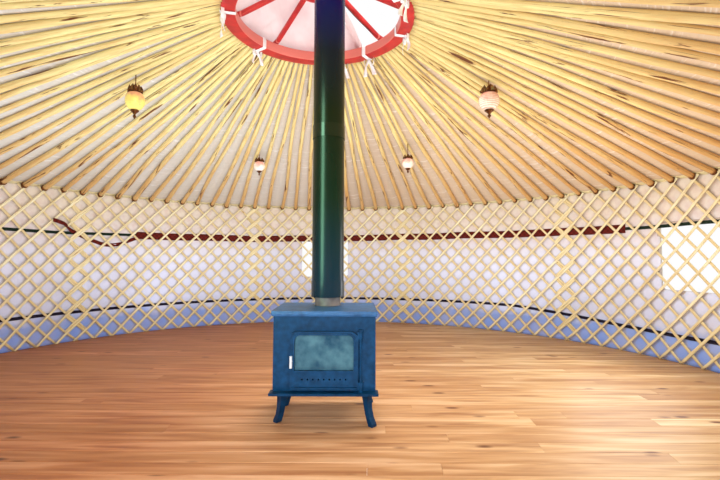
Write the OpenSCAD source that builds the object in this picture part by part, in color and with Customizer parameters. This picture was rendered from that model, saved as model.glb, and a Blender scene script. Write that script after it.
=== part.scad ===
// A round lattice-walled tent house with its wood burner and flue.
// Millimetres. X to the right and Y to the back, seen from the door.

/* [Wall] */
// radius of the wall, to the middle of its lattice
wall_r = 3500; // [3000:50:4200]
// height of the lattice above the floor
wall_h = 1748; // [1500:4:2000]
// lattice sections between one side of the door and the other
sections = 9; // [7:1:11]
// columns of crossings in one section
section_cols = 11; // [9:2:13]
// width of a lattice rod
rod_w = 28; // [20:1:36]
// thickness of a lattice rod
rod_t = 14; // [10:1:18]
// bearing of the door, clockwise from the back
door_az = 178.5; // [170:0.5:190]

/* [Fabric] */
// thickness of each layer of cloth
cloth_t = 4; // [3:0.5:6]
// facets round the cloth layers
cloth_facets = 52; // [40:4:72]
// height of the middle of the upper woven band
band_hi_z = 1275; // [1100:5:1500]
// width of the upper band where it is broad, across the back
band_hi_w = 100; // [60:5:140]
// width of the upper band where it is narrow
band_hi_n = 35; // [25:5:60]
// height of the middle of the lower band
band_lo_z = 330; // [200:5:500]
// width of the lower band
band_lo_w = 40; // [25:5:80]
// width of a window
window_w = 730; // [500:10:900]
// height of a window
window_h = 640; // [400:10:800]
// sill of a window above the floor
window_z = 690; // [500:10:900]
// how far the roof cloth hangs over the wall
skirt_h = 170; // [100:10:300]

/* [Roof] */
// diameter of a roof pole
pole_d = 36; // [28:1:44]
// height of the crown hoop above the floor
crown_z = 2869; // [2600:10:3200]
// outer radius of the crown hoop
crown_r = 763; // [600:5:900]
// radial width of the crown hoop
hoop_w = 112; // [80:4:140]
// height of the crown hoop
hoop_h = 90; // [70:2:110]
// height of the pole tips above the underside of the hoop
tip_rise = 25; // [20:1:35]
// radius of the hub ring
hub_r = 200; // [150:10:240]
// rise of the hub ring above the hoop
hub_rise = 250; // [150:10:320]
// spokes of the crown
spokes = 8; // [6:1:8]
// bearing of the first spoke
spoke_az = -85; // [-90:1:-80]

/* [Floor and door] */
// height of the bearers under the floor
bearer_h = 95; // [70:5:150]
// thickness of the floor boards
board_t = 25; // [18:1:35]
// width of the door frame, outside
door_w = 1040; // [980:10:1100]
// width of a door post
post_w = 70; // [50:5:90]
// depth of the door frame
frame_d = 110; // [90:5:140]
// height of the beam over the door
lintel_h = 100; // [80:5:140]
// thickness of the door leaf
leaf_t = 40; // [30:2:50]

/* [Stove] */
// middle of the stove and flue, to the right of the centre
stove_x = 108; // [0:4:200]
// front of the stove
stove_y = -760; // [-900:10:-650]
// width of the stove body
stove_w = 610; // [540:10:680]
// depth of the stove body
stove_d = 470; // [400:10:540]
// height of the stove top
stove_h = 678; // [620:2:740]
// thickness of the top plate with its rim
plate_h = 31; // [24:1:40]
// reach of the top plate past each side of the body
plate_lip = 11; // [4:1:24]
// height of the legs
leg_h = 205; // [160:5:240]
// thickness of the stove castings
cast_t = 10; // [8:1:14]
// width of the stove door
fire_w = 400; // [360:5:440]
// height of the stove door
fire_h = 342; // [300:4:380]
// opening angle of the stove door
fire_open = 0; // [0:1:95]
// diameter of the flue
flue_d = 215; // [190:1:230]
// height of the bare spigot between the stove top and the flue
spigot_h = 62; // [40:2:90]
// height of the first joint of the flue above the floor
flue_joint = 1807; // [1500:1:2200]
// length of the flue section above that joint
flue_len = 1753; // [1400:1:1900]
// flue axis behind the stove front
flue_back = 330; // [300:5:360]
// height of the top of the flue above the floor
flue_top = 3950; // [3700:10:4300]

/* [Lanterns] */
// width of the near pair of lanterns
near_w = 180; // [140:2:220]
// width of the far pair of lanterns
far_w = 140; // [110:2:180]

/* [Hidden] */
seat = 0.3;
floor_z = bearer_h + board_t;
top_z = floor_z + wall_h;
// crossings up the wall, and the turn of one rod in columns
rise_cols = 8;
door_ang = 2 * asin((door_w / 2 + 6) / wall_r);
pitch = (360 - door_ang) / (sections * section_cols);
section_ang = pitch * section_cols;
first_az = door_az + door_ang / 2;
door_poles = round(door_ang / pitch) - 1;
wall_poles = sections * section_cols + 1;
pole_total = wall_poles + door_poles;
facet_k = 1 / cos(180 / cloth_facets);
band_r = (wall_r + rod_t + seat) * facet_k + 0.6;
lining_r = band_r + cloth_t + seat;
canvas_r = lining_r + cloth_t + seat;
skirt_r = (canvas_r + cloth_t + seat) * facet_k;
eaves_r = skirt_r + cloth_t;
deck_r = canvas_r + cloth_t;
hoop_top = floor_z + crown_z + hoop_h;
tip_z = floor_z + crown_z + tip_rise;
hub_z = hoop_top + hub_rise;
// the line of the poles, from the lattice top to the crown hoop
foot_r = wall_r + rod_t;
roof_ang = atan((tip_z - top_z - pole_d / 2) / (foot_r - crown_r));
foot_z = top_z + seat + pole_d / 2 / cos(roof_ang) - pole_d * sin(roof_ang) * tan(roof_ang);
roof_tan = (tip_z - foot_z) / (foot_r - crown_r);
slope = atan(roof_tan);
win_az = [door_az - 181, door_az - 99, door_az + 101];
// bearing, from the door, where the wall cloth meets the door post
cloth_a = asin((door_w / 2 + 2 * seat) / band_r);
cloth_first = door_az + cloth_a;
cloth_last = door_az + 360 - cloth_a;
facet_a = 360 / cloth_facets;
flue_y = stove_y + flue_back;
flue_r = flue_d / 2;
spigot_d = 170;
pipe_z = floor_z + stove_h + spigot_h;
door_z0 = floor_z + leg_h + 13;
pin_x = stove_x + fire_w / 2 + 16;
pin_y = stove_y - 16;
// facets of the crown left open to the sky, and those under the cover
open_facets = round(cloth_facets * 0.19);
cover_facets = round(cloth_facets * 0.75);

wood_pale = "#e9c987";
wood_rod = "#efdcae";
red = "#cf2a26";
iron = "#1e2a3a";
cloth_in = "#e6dccf";
cloth_out = "#d9d3c2";

function polar(r, a, z) = [r * sin(a), r * cos(a), z];
function unit(v) = v / norm(v);
function pole_z(r) = foot_z + (foot_r - r) * roof_tan;
function pole_top(r) = pole_z(r) + pole_d / 2 / cos(slope);
function pole_az(k) = k < wall_poles ? first_az + k * pitch
  : door_az - door_ang / 2 + (k - wall_poles + 1) * door_ang / (door_poles + 1);
// place of a rod at height share t; each rod is straight over half the wall
function rod_pt(r, a0, col, way, t) = let(
    half = t > 0.5 ? 1 : 0,
    a = polar(r, a0 + (col + way * rise_cols * half / 2) * pitch, floor_z + wall_h * half / 2),
    b = polar(r, a0 + (col + way * rise_cols * (half + 1) / 2) * pitch,
      floor_z + wall_h * (half + 1) / 2)
  ) a + (b - a) * (t - half / 2) * 2;

// turns its children to a bearing, clockwise from the back
module bearing(a) {
  rotate([0, 0, -a]) children();
}

// closed skin made by turning a profile [radius, height] in flat facets
module facet_skin(profile, a0, a1, n, whole = false) {
  m = len(profile);
  rows = whole ? n : n + 1;
  pts = [for (i = [0 : rows - 1]) for (p = profile) polar(p[0], a0 + (a1 - a0) * i / n, p[1])];
  side = [for (i = [0 : n - 1]) for (j = [0 : m - 1])
    [i * m + j, i * m + (j + 1) % m,
     ((i + 1) % rows) * m + (j + 1) % m, ((i + 1) % rows) * m + j]];
  caps = whole ? [] : [[for (j = [m - 1 : -1 : 0]) j], [for (j = [0 : m - 1]) n * m + j]];
  polyhedron(points = pts, faces = concat(side, caps), convexity = 6);
}

// one square-edged bar between two points, its thin way facing the middle
module bar(p, q, w, t) {
  d = unit(q - p);
  m = (p + q) / 2;
  out = [m[0], m[1], 0];
  n = unit(out - d * (out * d));
  s = cross(n, d);
  multmatrix([
    [d[0], s[0], n[0], m[0]],
    [d[1], s[1], n[1], m[1]],
    [d[2], s[2], n[2], m[2]]])
    cube([norm(q - p), w, t], center = true);
}

// the part of one rod that lies inside its section, in two straight lengths
module rod(a0, col, way, r) {
  t0 = max(0, way > 0 ? -col / rise_cols : (col - section_cols) / rise_cols);
  t1 = min(1, way > 0 ? (section_cols - col) / rise_cols : col / rise_cols);
  trim = (rod_w / 2 + 2) / norm([wall_h, rise_cols * pitch * PI / 180 * wall_r]);
  // the rods of the section's first corners stop short of its edge
  s0 = t0 > 0 || way > 0 && col == 0 ? t0 + trim : -trim;
  s1 = t1 < 1 || way < 0 && col == rise_cols ? t1 - trim : 1 + trim;
  lap = trim / 2;
  if (t1 - t0 > 0.06) {
    if (s0 < 0.5) {
      hi = min(s1, 0.5);
      bar(rod_pt(r, a0, col, way, s0),
        rod_pt(r, a0, col, way, hi) + (s1 > 0.5 ? lap : 0) *
        (rod_pt(r, a0, col, way, 0.5) - rod_pt(r, a0, col, way, 0)), rod_w, rod_t);
    }
    if (s1 > 0.5) {
      lo = max(s0, 0.5001);
      bar(rod_pt(r, a0, col, way, lo) - (s0 < 0.5 ? lap : 0) *
        (rod_pt(r, a0, col, way, 1) - rod_pt(r, a0, col, way, 0.501)),
        rod_pt(r, a0, col, way, s1), rod_w, rod_t);
    }
  }
}

// one section of the wall lattice, every second rod of each layer
module lattice(k) {
  a0 = first_az + k * section_ang;
  color(wood_rod)
    intersection() {
      union() {
        for (c = [-rise_cols : 2 : section_cols]) rod(a0, c, 1, wall_r - rod_t / 2 + 0.5);
        for (c = [0 : 2 : section_cols + rise_cols]) rod(a0, c, -1, wall_r + rod_t / 2 - 0.5);
      }
      translate([-2 * wall_r, -2 * wall_r, floor_z + seat])
        cube([4 * wall_r, 4 * wall_r, wall_h - seat]);
    }
}

module lattice_1() lattice(0);
module lattice_2() lattice(1);
module lattice_3() lattice(2);
module lattice_4() lattice(3);
module lattice_5() lattice(4);
module lattice_6() lattice(5);
module lattice_7() lattice(6);
module lattice_8() lattice(7);
module lattice_9() lattice(8);

// bearers under the floor, each cut to the round
module bearers() {
  bearer_w = 95;
  step = deck_r * 2 / 9;
  color("#8a6a45")
    for (i = [-4 : 4]) {
      half = sqrt(pow(deck_r - 20, 2) - pow(abs(i) * step + bearer_w / 2, 2));
      translate([i * step - bearer_w / 2, -half, 0])
        cube([bearer_w, 2 * half, bearer_h]);
    }
}

// round floor of boards
module floor_deck() {
  color("#c98a4b")
    translate([0, 0, bearer_h])
      linear_extrude(board_t)
        polygon([for (i = [0 : cloth_facets - 1])
          let(a = first_az + i * 360 / cloth_facets) [deck_r * sin(a), deck_r * cos(a)]]);
}

// outline of the door frame, on the axis of the door
module at_door() {
  bearing(door_az) translate([0, wall_r * cos(door_ang / 2), 0]) children();
}

module door_posts() {
  color("#b98a58")
    at_door()
      for (s = [-1, 1])
        translate([s * (door_w - post_w) / 2 - post_w / 2, -frame_d / 2, floor_z + seat])
          cube([post_w, frame_d, wall_h - lintel_h - 2 * seat]);
}

module door_lintel() {
  color("#b98a58")
    at_door()
      intersection() {
        translate([-door_w / 2, -frame_d / 2, top_z - lintel_h])
          cube([door_w, frame_d, lintel_h]);
        translate([0, -wall_r * cos(door_ang / 2), 0])
          cylinder(h = top_z + 10, r = foot_r, $fn = 96);
      }
}

module door_sill() {
  color("#b98a58")
    at_door()
      translate([-door_w / 2 + post_w + seat, -frame_d / 2, floor_z + seat])
        cube([door_w - 2 * post_w - 2 * seat, frame_d, 25 - seat]);
}

// leaf of upright boards with two ledges outside and a pull inside
module door_leaf() {
  w = door_w - 2 * post_w - 2 * seat;
  h = wall_h - lintel_h - 25 - 2 * seat;
  color("#a97c4c")
    at_door()
      translate([-w / 2, -leaf_t / 2, floor_z + 25 + seat]) {
        cube([w, leaf_t, h]);
        for (z = [h * 0.1, h * 0.82])
          translate([w * 0.05, leaf_t - 0.5, z])
            cube([w * 0.9, 22.5, 100]);
        translate([w * 0.9, -34.5, h * 0.5])
          cube([24, 35, 150]);
      }
}

// bands of the wall, from one facet of the cloth to another
module wall_band(z, w, i0 = 0, i1 = cloth_facets - 3) {
  step = (cloth_last - cloth_first) / (cloth_facets - 3);
  gap = i0 > 0 ? 0.01 : 0;
  facet_skin([[band_r, z - w / 2], [band_r + cloth_t, z - w / 2],
    [band_r + cloth_t, z + w / 2], [band_r, z + w / 2]],
    cloth_first + (i0 + gap) * step, cloth_first + i1 * step, i1 - i0);
}

// narrow on both sides of the door, broad across the back
module upper_band() {
  z = floor_z + band_hi_z;
  broad = [round(cloth_facets * 0.346), round(cloth_facets * 0.654)];
  color("#6d1419") {
    wall_band(z, band_hi_n, 0, broad[0]);
    wall_band(z, band_hi_w, broad[0], broad[1]);
    wall_band(z, band_hi_n, broad[1], cloth_facets - 3);
  }
}

module lower_band() {
  color("#2a2230") wall_band(floor_z + band_lo_z, band_lo_w);
}

// one layer of wall cloth with its window openings
module wall_cloth(r, z0, z1) {
  difference() {
    facet_skin([[r, z0], [r + cloth_t, z0], [r + cloth_t, z1], [r, z1]],
      cloth_first, cloth_last, cloth_facets - 3);
    for (a = win_az)
      bearing(a) translate([-window_w / 2, wall_r * 0.94, floor_z + window_z])
        cube([window_w, wall_r * 0.12, window_h]);
  }
}

module wall_lining() {
  color(cloth_in)
    wall_cloth(lining_r, floor_z + 2, canvas_z((lining_r + cloth_t) * facet_k) - 2 * seat);
}

module wall_canvas() {
  color(cloth_out)
    wall_cloth(canvas_r, floor_z + seat, canvas_z((canvas_r + cloth_t) * facet_k) - 2 * seat);
}

// clear panes that fill the window openings of the outer cloth
module window_panes() {
  color("#dfe9ea")
    for (a = win_az)
      intersection() {
        facet_skin([[canvas_r + 0.5, floor_z + window_z + seat],
          [canvas_r + cloth_t - 1, floor_z + window_z + seat],
          [canvas_r + cloth_t - 1, floor_z + window_z + window_h - seat],
          [canvas_r + 0.5, floor_z + window_z + window_h - seat]],
          cloth_first, cloth_last, cloth_facets - 3);
        bearing(a) translate([-window_w / 2 + seat, wall_r * 0.94, floor_z + window_z])
          cube([window_w - 2 * seat, wall_r * 0.12, window_h]);
      }
}

// one roof pole, from its foot on the lattice to the crown hoop
module roof_pole(a) {
  len = (foot_r - crown_r - seat) / cos(slope) - pole_d * tan(slope);
  bearing(a)
    translate([0, foot_r, foot_z])
      rotate([90 - slope, 0, 0])
        translate([0, 0, pole_d / 2 * tan(slope)])
          rotate([0, 0, 30])
            cylinder(h = len, d = pole_d, $fn = 6);
}

module pole_group(g) {
  color(wood_pale)
    for (k = [0 : pole_total - 1])
      if (floor(k * 8 / pole_total) == g) roof_pole(pole_az(k));
}

module roof_poles_1() pole_group(0);
module roof_poles_2() pole_group(1);
module roof_poles_3() pole_group(2);
module roof_poles_4() pole_group(3);
module roof_poles_5() pole_group(4);
module roof_poles_6() pole_group(5);
module roof_poles_7() pole_group(6);
module roof_poles_8() pole_group(7);

// laminated hoop of the crown
module crown_hoop() {
  color(red)
    translate([0, 0, floor_z + crown_z])
      difference() {
        cylinder(h = hoop_h, r = crown_r, $fn = 104);
        translate([0, 0, -1])
          cylinder(h = hoop_h + 2, r = crown_r - hoop_w, $fn = 104);
      }
}

// spokes that climb from the hoop to the hub ring
module crown_spokes() {
  w = 36;
  h = 40;
  r0 = crown_r - hoop_w * 0.4;
  r1 = hub_r + 8;
  rise = hub_z - hoop_top;
  color(red)
    for (i = [0 : spokes - 1])
      bearing(spoke_az + i * 360 / spokes)
        rotate([90, 0, 90])
          translate([0, 0, -w / 2])
            linear_extrude(w)
              polygon([[r0, hoop_top + seat], [r0 - 75, hoop_top + seat],
                [r1, hub_z - h], [r1, hub_z + 4], [r0 - 75, hoop_top + h + 6],
                [r0, hoop_top + 20]]);
}

module crown_hub() {
  color(red)
    translate([0, 0, hub_z - 46])
      difference() {
        cylinder(h = 52, r = hub_r + 8 - seat, $fn = 64);
        translate([0, 0, -1])
          cylinder(h = 54, r = hub_r - 26, $fn = 64);
      }
}

// height of the roof lining and of the canvas over it
function lining_z(r) = pole_top(r / facet_k) + seat;
function canvas_z(r) = lining_z(r) + cloth_t / cos(slope) + seat;

module roof_lining() {
  r0 = crown_r + 4;
  r1 = foot_r + 2;
  t = cloth_t / cos(slope);
  color(cloth_in)
    facet_skin([[r0, lining_z(r0)], [r1, lining_z(r1)],
      [r1, lining_z(r1) + t], [r0, lining_z(r0) + t]],
      first_az, first_az + 360, cloth_facets, true);
}

// outer roof cloth, whose skirt hangs over the wall and is cut away over the door
module roof_canvas() {
  r0 = crown_r + 4;
  t = cloth_t / cos(slope);
  color(cloth_out)
    difference() {
      facet_skin([[r0, canvas_z(r0)], [skirt_r, canvas_z(skirt_r)],
        [skirt_r, top_z - skirt_h], [eaves_r, top_z - skirt_h],
        [eaves_r, canvas_z(eaves_r) + t], [r0, canvas_z(r0) + t]],
        first_az, first_az + 360, cloth_facets, true);
      at_door()
        translate([-door_w / 2 - 6, 0, top_z - skirt_h - 10])
          cube([door_w + 12, 200, skirt_h - lintel_h + 30]);
    }
}

// cloth cover of the crown, folded back from one side
module crown_cover() {
  t = cloth_t / cos(slope);
  r1 = crown_r - hoop_w - 8;
  r2 = crown_r + 6;
  r3 = crown_r + 34;
  r4 = crown_r + 170;
  z3 = canvas_z(r3) + t + seat;
  z4 = canvas_z(r4) + t + seat;
  color("#ead9d3")
    difference() {
      facet_skin([[4, hub_z + 8], [hub_r + 8, hub_z + 8], [r1, hoop_top + 49],
        [r2, hoop_top + 14], [r3, z3], [r4, z4],
        [r4, z4 + t], [r3 + 2, z3 + t], [r2 + 3, hoop_top + 18], [r1, hoop_top + 54],
        [hub_r + 10, hub_z + 8 + t], [4, hub_z + 8 + t]],
        first_az - open_facets * facet_a,
        first_az - open_facets * facet_a + cover_facets * facet_a, cover_facets);
      translate([stove_x, flue_y, hoop_top - 200])
        cylinder(h = 900, r = flue_r + 6, $fn = 48);
    }
}

// cast body of the stove, hollow, with its door lugs and hinge pin
module stove_body() {
  y1 = stove_y + stove_d;
  z0 = floor_z + leg_h;
  h = stove_h - leg_h - plate_h;
  color(iron) {
    difference() {
      translate([stove_x - stove_w / 2, stove_y, z0])
        cube([stove_w, stove_d, h - seat]);
      translate([stove_x - stove_w / 2 + cast_t, stove_y + 16, z0 + cast_t])
        cube([stove_w - 2 * cast_t, stove_d - 16 - cast_t, h - 2 * cast_t]);
      translate([stove_x, stove_y + 20, z0 + 12])
        rotate([90, 0, 0])
          linear_extrude(30)
            translate([0, 22]) arch(fire_w - 50, fire_h - 46, 34);
    }
    // lip for the ash, and the frame that stands round the door
    translate([stove_x - stove_w / 2 - 14, stove_y - 62, z0 - 8])
      cube([stove_w + 28, 80, 14]);
    for (z = [door_z0 - 9, door_z0 + fire_h + 1])
      translate([pin_x - 13, stove_y - 29, z])
        cube([26, 30, 8]);
    translate([pin_x, pin_y, door_z0 - 9])
      cylinder(h = fire_h + 18, d = 12, $fn = 32);
  }
}

// outline with square lower and round upper corners
module arch(w, h, r) {
  translate([-w / 2, 0]) square([w, h - r]);
  translate([-w / 2 + r, 0]) square([w - 2 * r, h]);
  for (s = [-1, 1])
    translate([s * (w / 2 - r), h - r]) circle(r, $fn = 32);
}

// turns its children with the stove door about the hinge pin
module at_stove_door() {
  translate([pin_x, pin_y, 0])
    rotate([0, 0, fire_open])
      translate([stove_x - pin_x, 0, door_z0])
        children();
}

module stove_door() {
  knuckle = 46;
  color(iron)
    at_stove_door()
      difference() {
        union() {
          translate([0, 11, 0])
            rotate([90, 0, 0])
              linear_extrude(22)
                difference() {
                  arch(fire_w, fire_h, 46);
                  translate([0, fire_h * 0.34]) arch(fire_w - 52, fire_h * 0.6, 36);
                }
          // raised moulding round the opening
          translate([0, -10.5, 0])
            rotate([90, 0, 0])
              linear_extrude(7)
                difference() {
                  translate([0, fire_h * 0.34 - 9]) arch(fire_w - 34, fire_h * 0.6 + 18, 45);
                  translate([0, fire_h * 0.34]) arch(fire_w - 52, fire_h * 0.6, 36);
                }
          for (z = [1, fire_h - 1 - knuckle])
            translate([pin_x - stove_x, 0, z]) {
              cylinder(h = knuckle, d = 26, $fn = 32);
              translate([-20, -9, 0]) cube([20, 18, knuckle]);
            }
          translate([-fire_w / 2 + 6, -23, 8])
            cube([fire_w - 12, 12.5, 12]);
        }
        // seat of the glass behind the opening
        translate([0, 12, 0])
          rotate([90, 0, 0])
            linear_extrude(8)
              translate([0, fire_h * 0.34 - 8]) arch(fire_w - 36, fire_h * 0.6 + 16, 42);
        // air holes in a row under the glass
        for (i = [-4 : 4])
          translate([i * 32, 14, fire_h * 0.19])
            rotate([90, 0, 0]) cylinder(h = 30, d = 10, $fn = 16);
        // bore of the hinge
        translate([pin_x - stove_x, 0, -5])
          cylinder(h = fire_h + 10, d = 12.16, $fn = 32);
      }
}

module stove_glass() {
  color("#3a4a52")
    at_stove_door()
      translate([0, 10.6, 0])
        rotate([90, 0, 0])
          linear_extrude(6.3)
            translate([0, fire_h * 0.34 - 8 + seat])
              arch(fire_w - 36 - 2 * seat, fire_h * 0.6 + 16 - 2 * seat, 42 - seat);
}

// lever of the door, clear of its face
module stove_handle() {
  color("#8d8f92")
    at_stove_door()
      translate([-fire_w / 2 + 9, 0, fire_h * 0.5]) {
        translate([0, -11.3, 0])
          rotate([90, 0, 0]) cylinder(h = 24, d = 12, $fn = 24);
        translate([0, -40, -34])
          cylinder(h = 68, d = 16, $fn = 24);
      }
}

// top plate with a rolled rim, wider than the body
module stove_top() {
  color(iron)
    difference() {
      hull() {
        translate([stove_x - stove_w / 2 - plate_lip / 2, stove_y - 14, floor_z + stove_h - plate_h])
          cube([stove_w + plate_lip, stove_d + 20, 10]);
        translate([stove_x - stove_w / 2 - plate_lip, stove_y - 22, floor_z + stove_h - plate_h * 0.6])
          cube([stove_w + 2 * plate_lip, stove_d + 34, plate_h * 0.6]);
      }
      translate([stove_x, flue_y, floor_z + stove_h - plate_h - 10])
        cylinder(h = plate_h + 20, d = spigot_d - 16, $fn = 48);
    }
}

// four bowed legs
module stove_legs() {
  h = leg_h - 8 - 2 * seat;
  color(iron)
    for (sx = [-1, 1], sy = [-1, 1])
      translate([stove_x + sx * (stove_w / 2 - 52),
        stove_y + stove_d / 2 + sy * (stove_d / 2 - 52), floor_z + seat])
        rotate([0, 0, sx * sy > 0 ? sx * 45 : sx * -45])
          translate([0, 20, 0])
            rotate([90, 0, 0])
              linear_extrude(40)
                polygon(leg_line(sx, h));
}

function leg_line(s, h) = [for (p = [[-20, 1], [30, 1], [26, 0.72], [28, 0.5], [40, 0.26],
  [62, 0.08], [64, 0], [34, 0], [22, 0.12], [6, 0.34], [-8, 0.62], [-20, 0.86]])
  [s * p[0], h * p[1]]];

// flue of double wall from the spigot to above the crown
module flue_pipe() {
  color("#16222a")
    translate([stove_x, flue_y, 0]) {
      difference() {
        translate([0, 0, pipe_z]) cylinder(h = floor_z + flue_top - pipe_z, r = flue_r, $fn = 64);
        translate([0, 0, pipe_z - 1])
          cylinder(h = flue_top, r = flue_r - 12, $fn = 64);
      }
    }
}

module tube(z, h, r1, r2) {
  translate([stove_x, flue_y, z])
    difference() {
      cylinder(h = h, r = r2, $fn = 64);
      translate([0, 0, -1]) cylinder(h = h + 2, r = r1, $fn = 64);
    }
}

// spigot on the stove top, under the first length of flue
module flue_spigot() {
  color("#6d655c")
    tube(floor_z + stove_h + seat, pipe_z - floor_z - stove_h + 40, spigot_d / 2 - 8, spigot_d / 2);
}

// locking bands of the flue and the ring under its first length
module flue_collars() {
  color("#10181e") {
    tube(pipe_z - 5 - seat, 5, spigot_d / 2 + seat, flue_r + 4);
    tube(pipe_z + 2, 98, flue_r + seat, flue_r + 4);
    tube(floor_z + flue_joint, 92, flue_r + seat, flue_r + 4);
    tube(floor_z + flue_joint + flue_len, 92, flue_r + seat, flue_r + 4);
  }
}

// weather collar where the flue leaves the crown cover
module flue_flashing() {
  z = hub_z - 158;
  color("#5d5f62")
    translate([stove_x, flue_y, z])
      rotate_extrude($fn = 64)
        polygon([[flue_r + seat, 0], [flue_r + 5.6, 0], [flue_r + 5.6, 205],
          [flue_r + 84, 168], [flue_r + 86, 173], [flue_r + 5, 252], [flue_r + seat, 252]]);
}

// rain cap on three stays
module flue_cowl() {
  z = floor_z + flue_top;
  color("#16222a")
    translate([stove_x, flue_y, 0]) {
      translate([0, 0, z + 118])
        cylinder(h = 70, r1 = flue_r + 60, r2 = 20, $fn = 48);
      for (a = [0 : 120 : 240])
        rotate([0, 0, a])
          translate([flue_r + 4.5, -15, z - 60])
            cube([4, 30, 190]);
      difference() {
        translate([0, 0, z - 60]) cylinder(h = 40, r = flue_r + 6, $fn = 64);
        translate([0, 0, z - 61]) cylinder(h = 42, r = flue_r + seat, $fn = 64);
      }
    }
}

// places of the lanterns: pole, distance from the centre, drop of the glass, width
lanterns = [[26, 1572, 240, near_w], [72, 1514, 195, near_w], [43, 2200, 150, far_w],
  [58, 2004, 240, far_w]];
module at_lanterns() {
  for (l = lanterns)
    let ($drop = l[2], $w = l[3])
      translate(polar(l[1], pole_az(l[0]), pole_z(l[1]) - pole_d / 2 / cos(slope) - seat))
        children();
}

// hook, upper crown and lower finial of each lantern, round its glass
module lantern_metal() {
  color("#6a4a32")
    at_lanterns()
      rotate_extrude($fn = 24)
        polygon([[0, 0], [4, 0], [4, $w * 0.84 - $drop], [$w * 0.06, $w * 0.80 - $drop],
          [$w * 0.07, $w * 0.68 - $drop], [$w * 0.13, $w * 0.62 - $drop],
          [$w * 0.36, $w * 0.66 - $drop], [$w * 0.38, $w * 0.58 - $drop],
          [$w * 0.30, $w * 0.50 - $drop], [$w * 0.24, $w * 0.43 - $drop], [0, $w * 0.43 - $drop]]);
  color("#6a4a32")
    at_lanterns()
      rotate_extrude($fn = 24)
        polygon([[0, -$w * 0.42 - $drop], [$w * 0.21, -$w * 0.42 - $drop],
          [$w * 0.18, -$w * 0.52 - $drop], [$w * 0.07, -$w * 0.60 - $drop],
          [$w * 0.05, -$w * 0.66 - $drop], [$w * 0.09, -$w * 0.71 - $drop],
          [$w * 0.05, -$w * 0.78 - $drop], [$w * 0.02, -$w * 0.86 - $drop],
          [0, -$w * 0.86 - $drop]]);
}

// glass of each lantern: widest a little above the middle
module lantern_glass() {
  color("#e2a23a")
    at_lanterns()
      translate([0, 0, -$drop])
        rotate_extrude($fn = 32)
          polygon([[0, $w * 0.43 - 0.4], [$w * 0.22, $w * 0.43 - 0.4], [$w * 0.36, $w * 0.36],
            [$w * 0.46, $w * 0.22], [$w / 2, $w * 0.04], [$w * 0.48, -$w * 0.12],
            [$w * 0.41, -$w * 0.26], [$w * 0.30, -$w * 0.36], [$w * 0.19, 0.4 - $w * 0.42],
            [0, 0.4 - $w * 0.42]]);
}

bearers();
floor_deck();
door_posts();
door_lintel();
door_sill();
door_leaf();
lattice_1();
lattice_2();
lattice_3();
lattice_4();
lattice_5();
lattice_6();
lattice_7();
lattice_8();
lattice_9();
upper_band();
lower_band();
wall_lining();
wall_canvas();
window_panes();
roof_poles_1();
roof_poles_2();
roof_poles_3();
roof_poles_4();
roof_poles_5();
roof_poles_6();
roof_poles_7();
roof_poles_8();
crown_hoop();
crown_spokes();
crown_hub();
roof_lining();
roof_canvas();
crown_cover();
stove_body();
stove_top();
stove_legs();
stove_door();
stove_glass();
stove_handle();
flue_spigot();
flue_pipe();
flue_collars();
flue_flashing();
flue_cowl();
lantern_metal();
lantern_glass();
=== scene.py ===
# %% [markdown]
# # A round tent house with a lattice wall
#
# This notebook dresses the plain solids of a yurt for a picture. The solids come
# from the CAD model and never move: some only get a finish, and others are hidden
# behind a piece made here, such as cloth with folds or poles with crooked grain.
# Everything is in metres, with the floor bearers standing on z = 0, +Z up, and the
# entrance towards -Y.

# %% Load the fixed frame
import math

import bpy
import numpy as np
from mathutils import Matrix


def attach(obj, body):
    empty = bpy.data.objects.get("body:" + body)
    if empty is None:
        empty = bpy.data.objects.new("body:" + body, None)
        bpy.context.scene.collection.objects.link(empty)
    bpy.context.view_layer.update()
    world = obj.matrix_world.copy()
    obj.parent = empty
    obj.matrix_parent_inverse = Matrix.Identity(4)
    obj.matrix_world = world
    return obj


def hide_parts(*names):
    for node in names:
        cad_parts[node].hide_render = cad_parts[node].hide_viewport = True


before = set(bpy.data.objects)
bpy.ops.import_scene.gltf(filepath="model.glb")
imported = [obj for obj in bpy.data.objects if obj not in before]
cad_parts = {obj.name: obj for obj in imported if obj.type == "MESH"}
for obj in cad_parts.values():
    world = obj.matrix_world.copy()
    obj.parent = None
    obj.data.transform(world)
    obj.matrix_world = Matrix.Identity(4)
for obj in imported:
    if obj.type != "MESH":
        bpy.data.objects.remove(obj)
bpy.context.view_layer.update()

# %% [markdown]
# ## The camera
#
# The picture was taken from just inside the doorway. The feet of the roof poles, the
# rim of the crown and the foot of the wall fix where the camera stood, how wide its
# lens is and how far the frame is shifted, so those numbers are written down once.

# %% Camera just inside the doorway
FLOOR = 0.12
EYE = (0.2688, -3.3863, FLOOR + 0.9986)
TILT, ROLL = 0.0655, 0.0037
PICTURE_W, FOCAL_PX, SHIFT_X_PX, SHIFT_Y_PX = 720, 434.9, 8.31, -11.25
SENSOR_MM = 36.0

cam_data = bpy.data.cameras.new("doorway_camera")
cam_data.sensor_width = SENSOR_MM
cam_data.lens = FOCAL_PX / PICTURE_W * SENSOR_MM
cam_data.shift_x = SHIFT_X_PX / PICTURE_W
cam_data.shift_y = SHIFT_Y_PX / PICTURE_W
cam_data.clip_start = 0.02
camera = bpy.data.objects.new("doorway_camera", cam_data)
camera.location = EYE
camera.rotation_euler = (math.pi / 2 + TILT, -ROLL, 0.0)
bpy.context.collection.objects.link(camera)
bpy.context.scene.camera = camera
print("lens", round(cam_data.lens, 2), "mm")

# %% [markdown]
# ## Sizes shared with the solids
#
# Bearings are measured clockwise from the back wall (+Y), as seen from above. One
# *column* is the step from one crossing of the lattice to the next.
# The roof cloth of the solids is faceted, with a fold over every second pole, so its
# corners stand out by 1 / cos(pi / 52).

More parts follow.
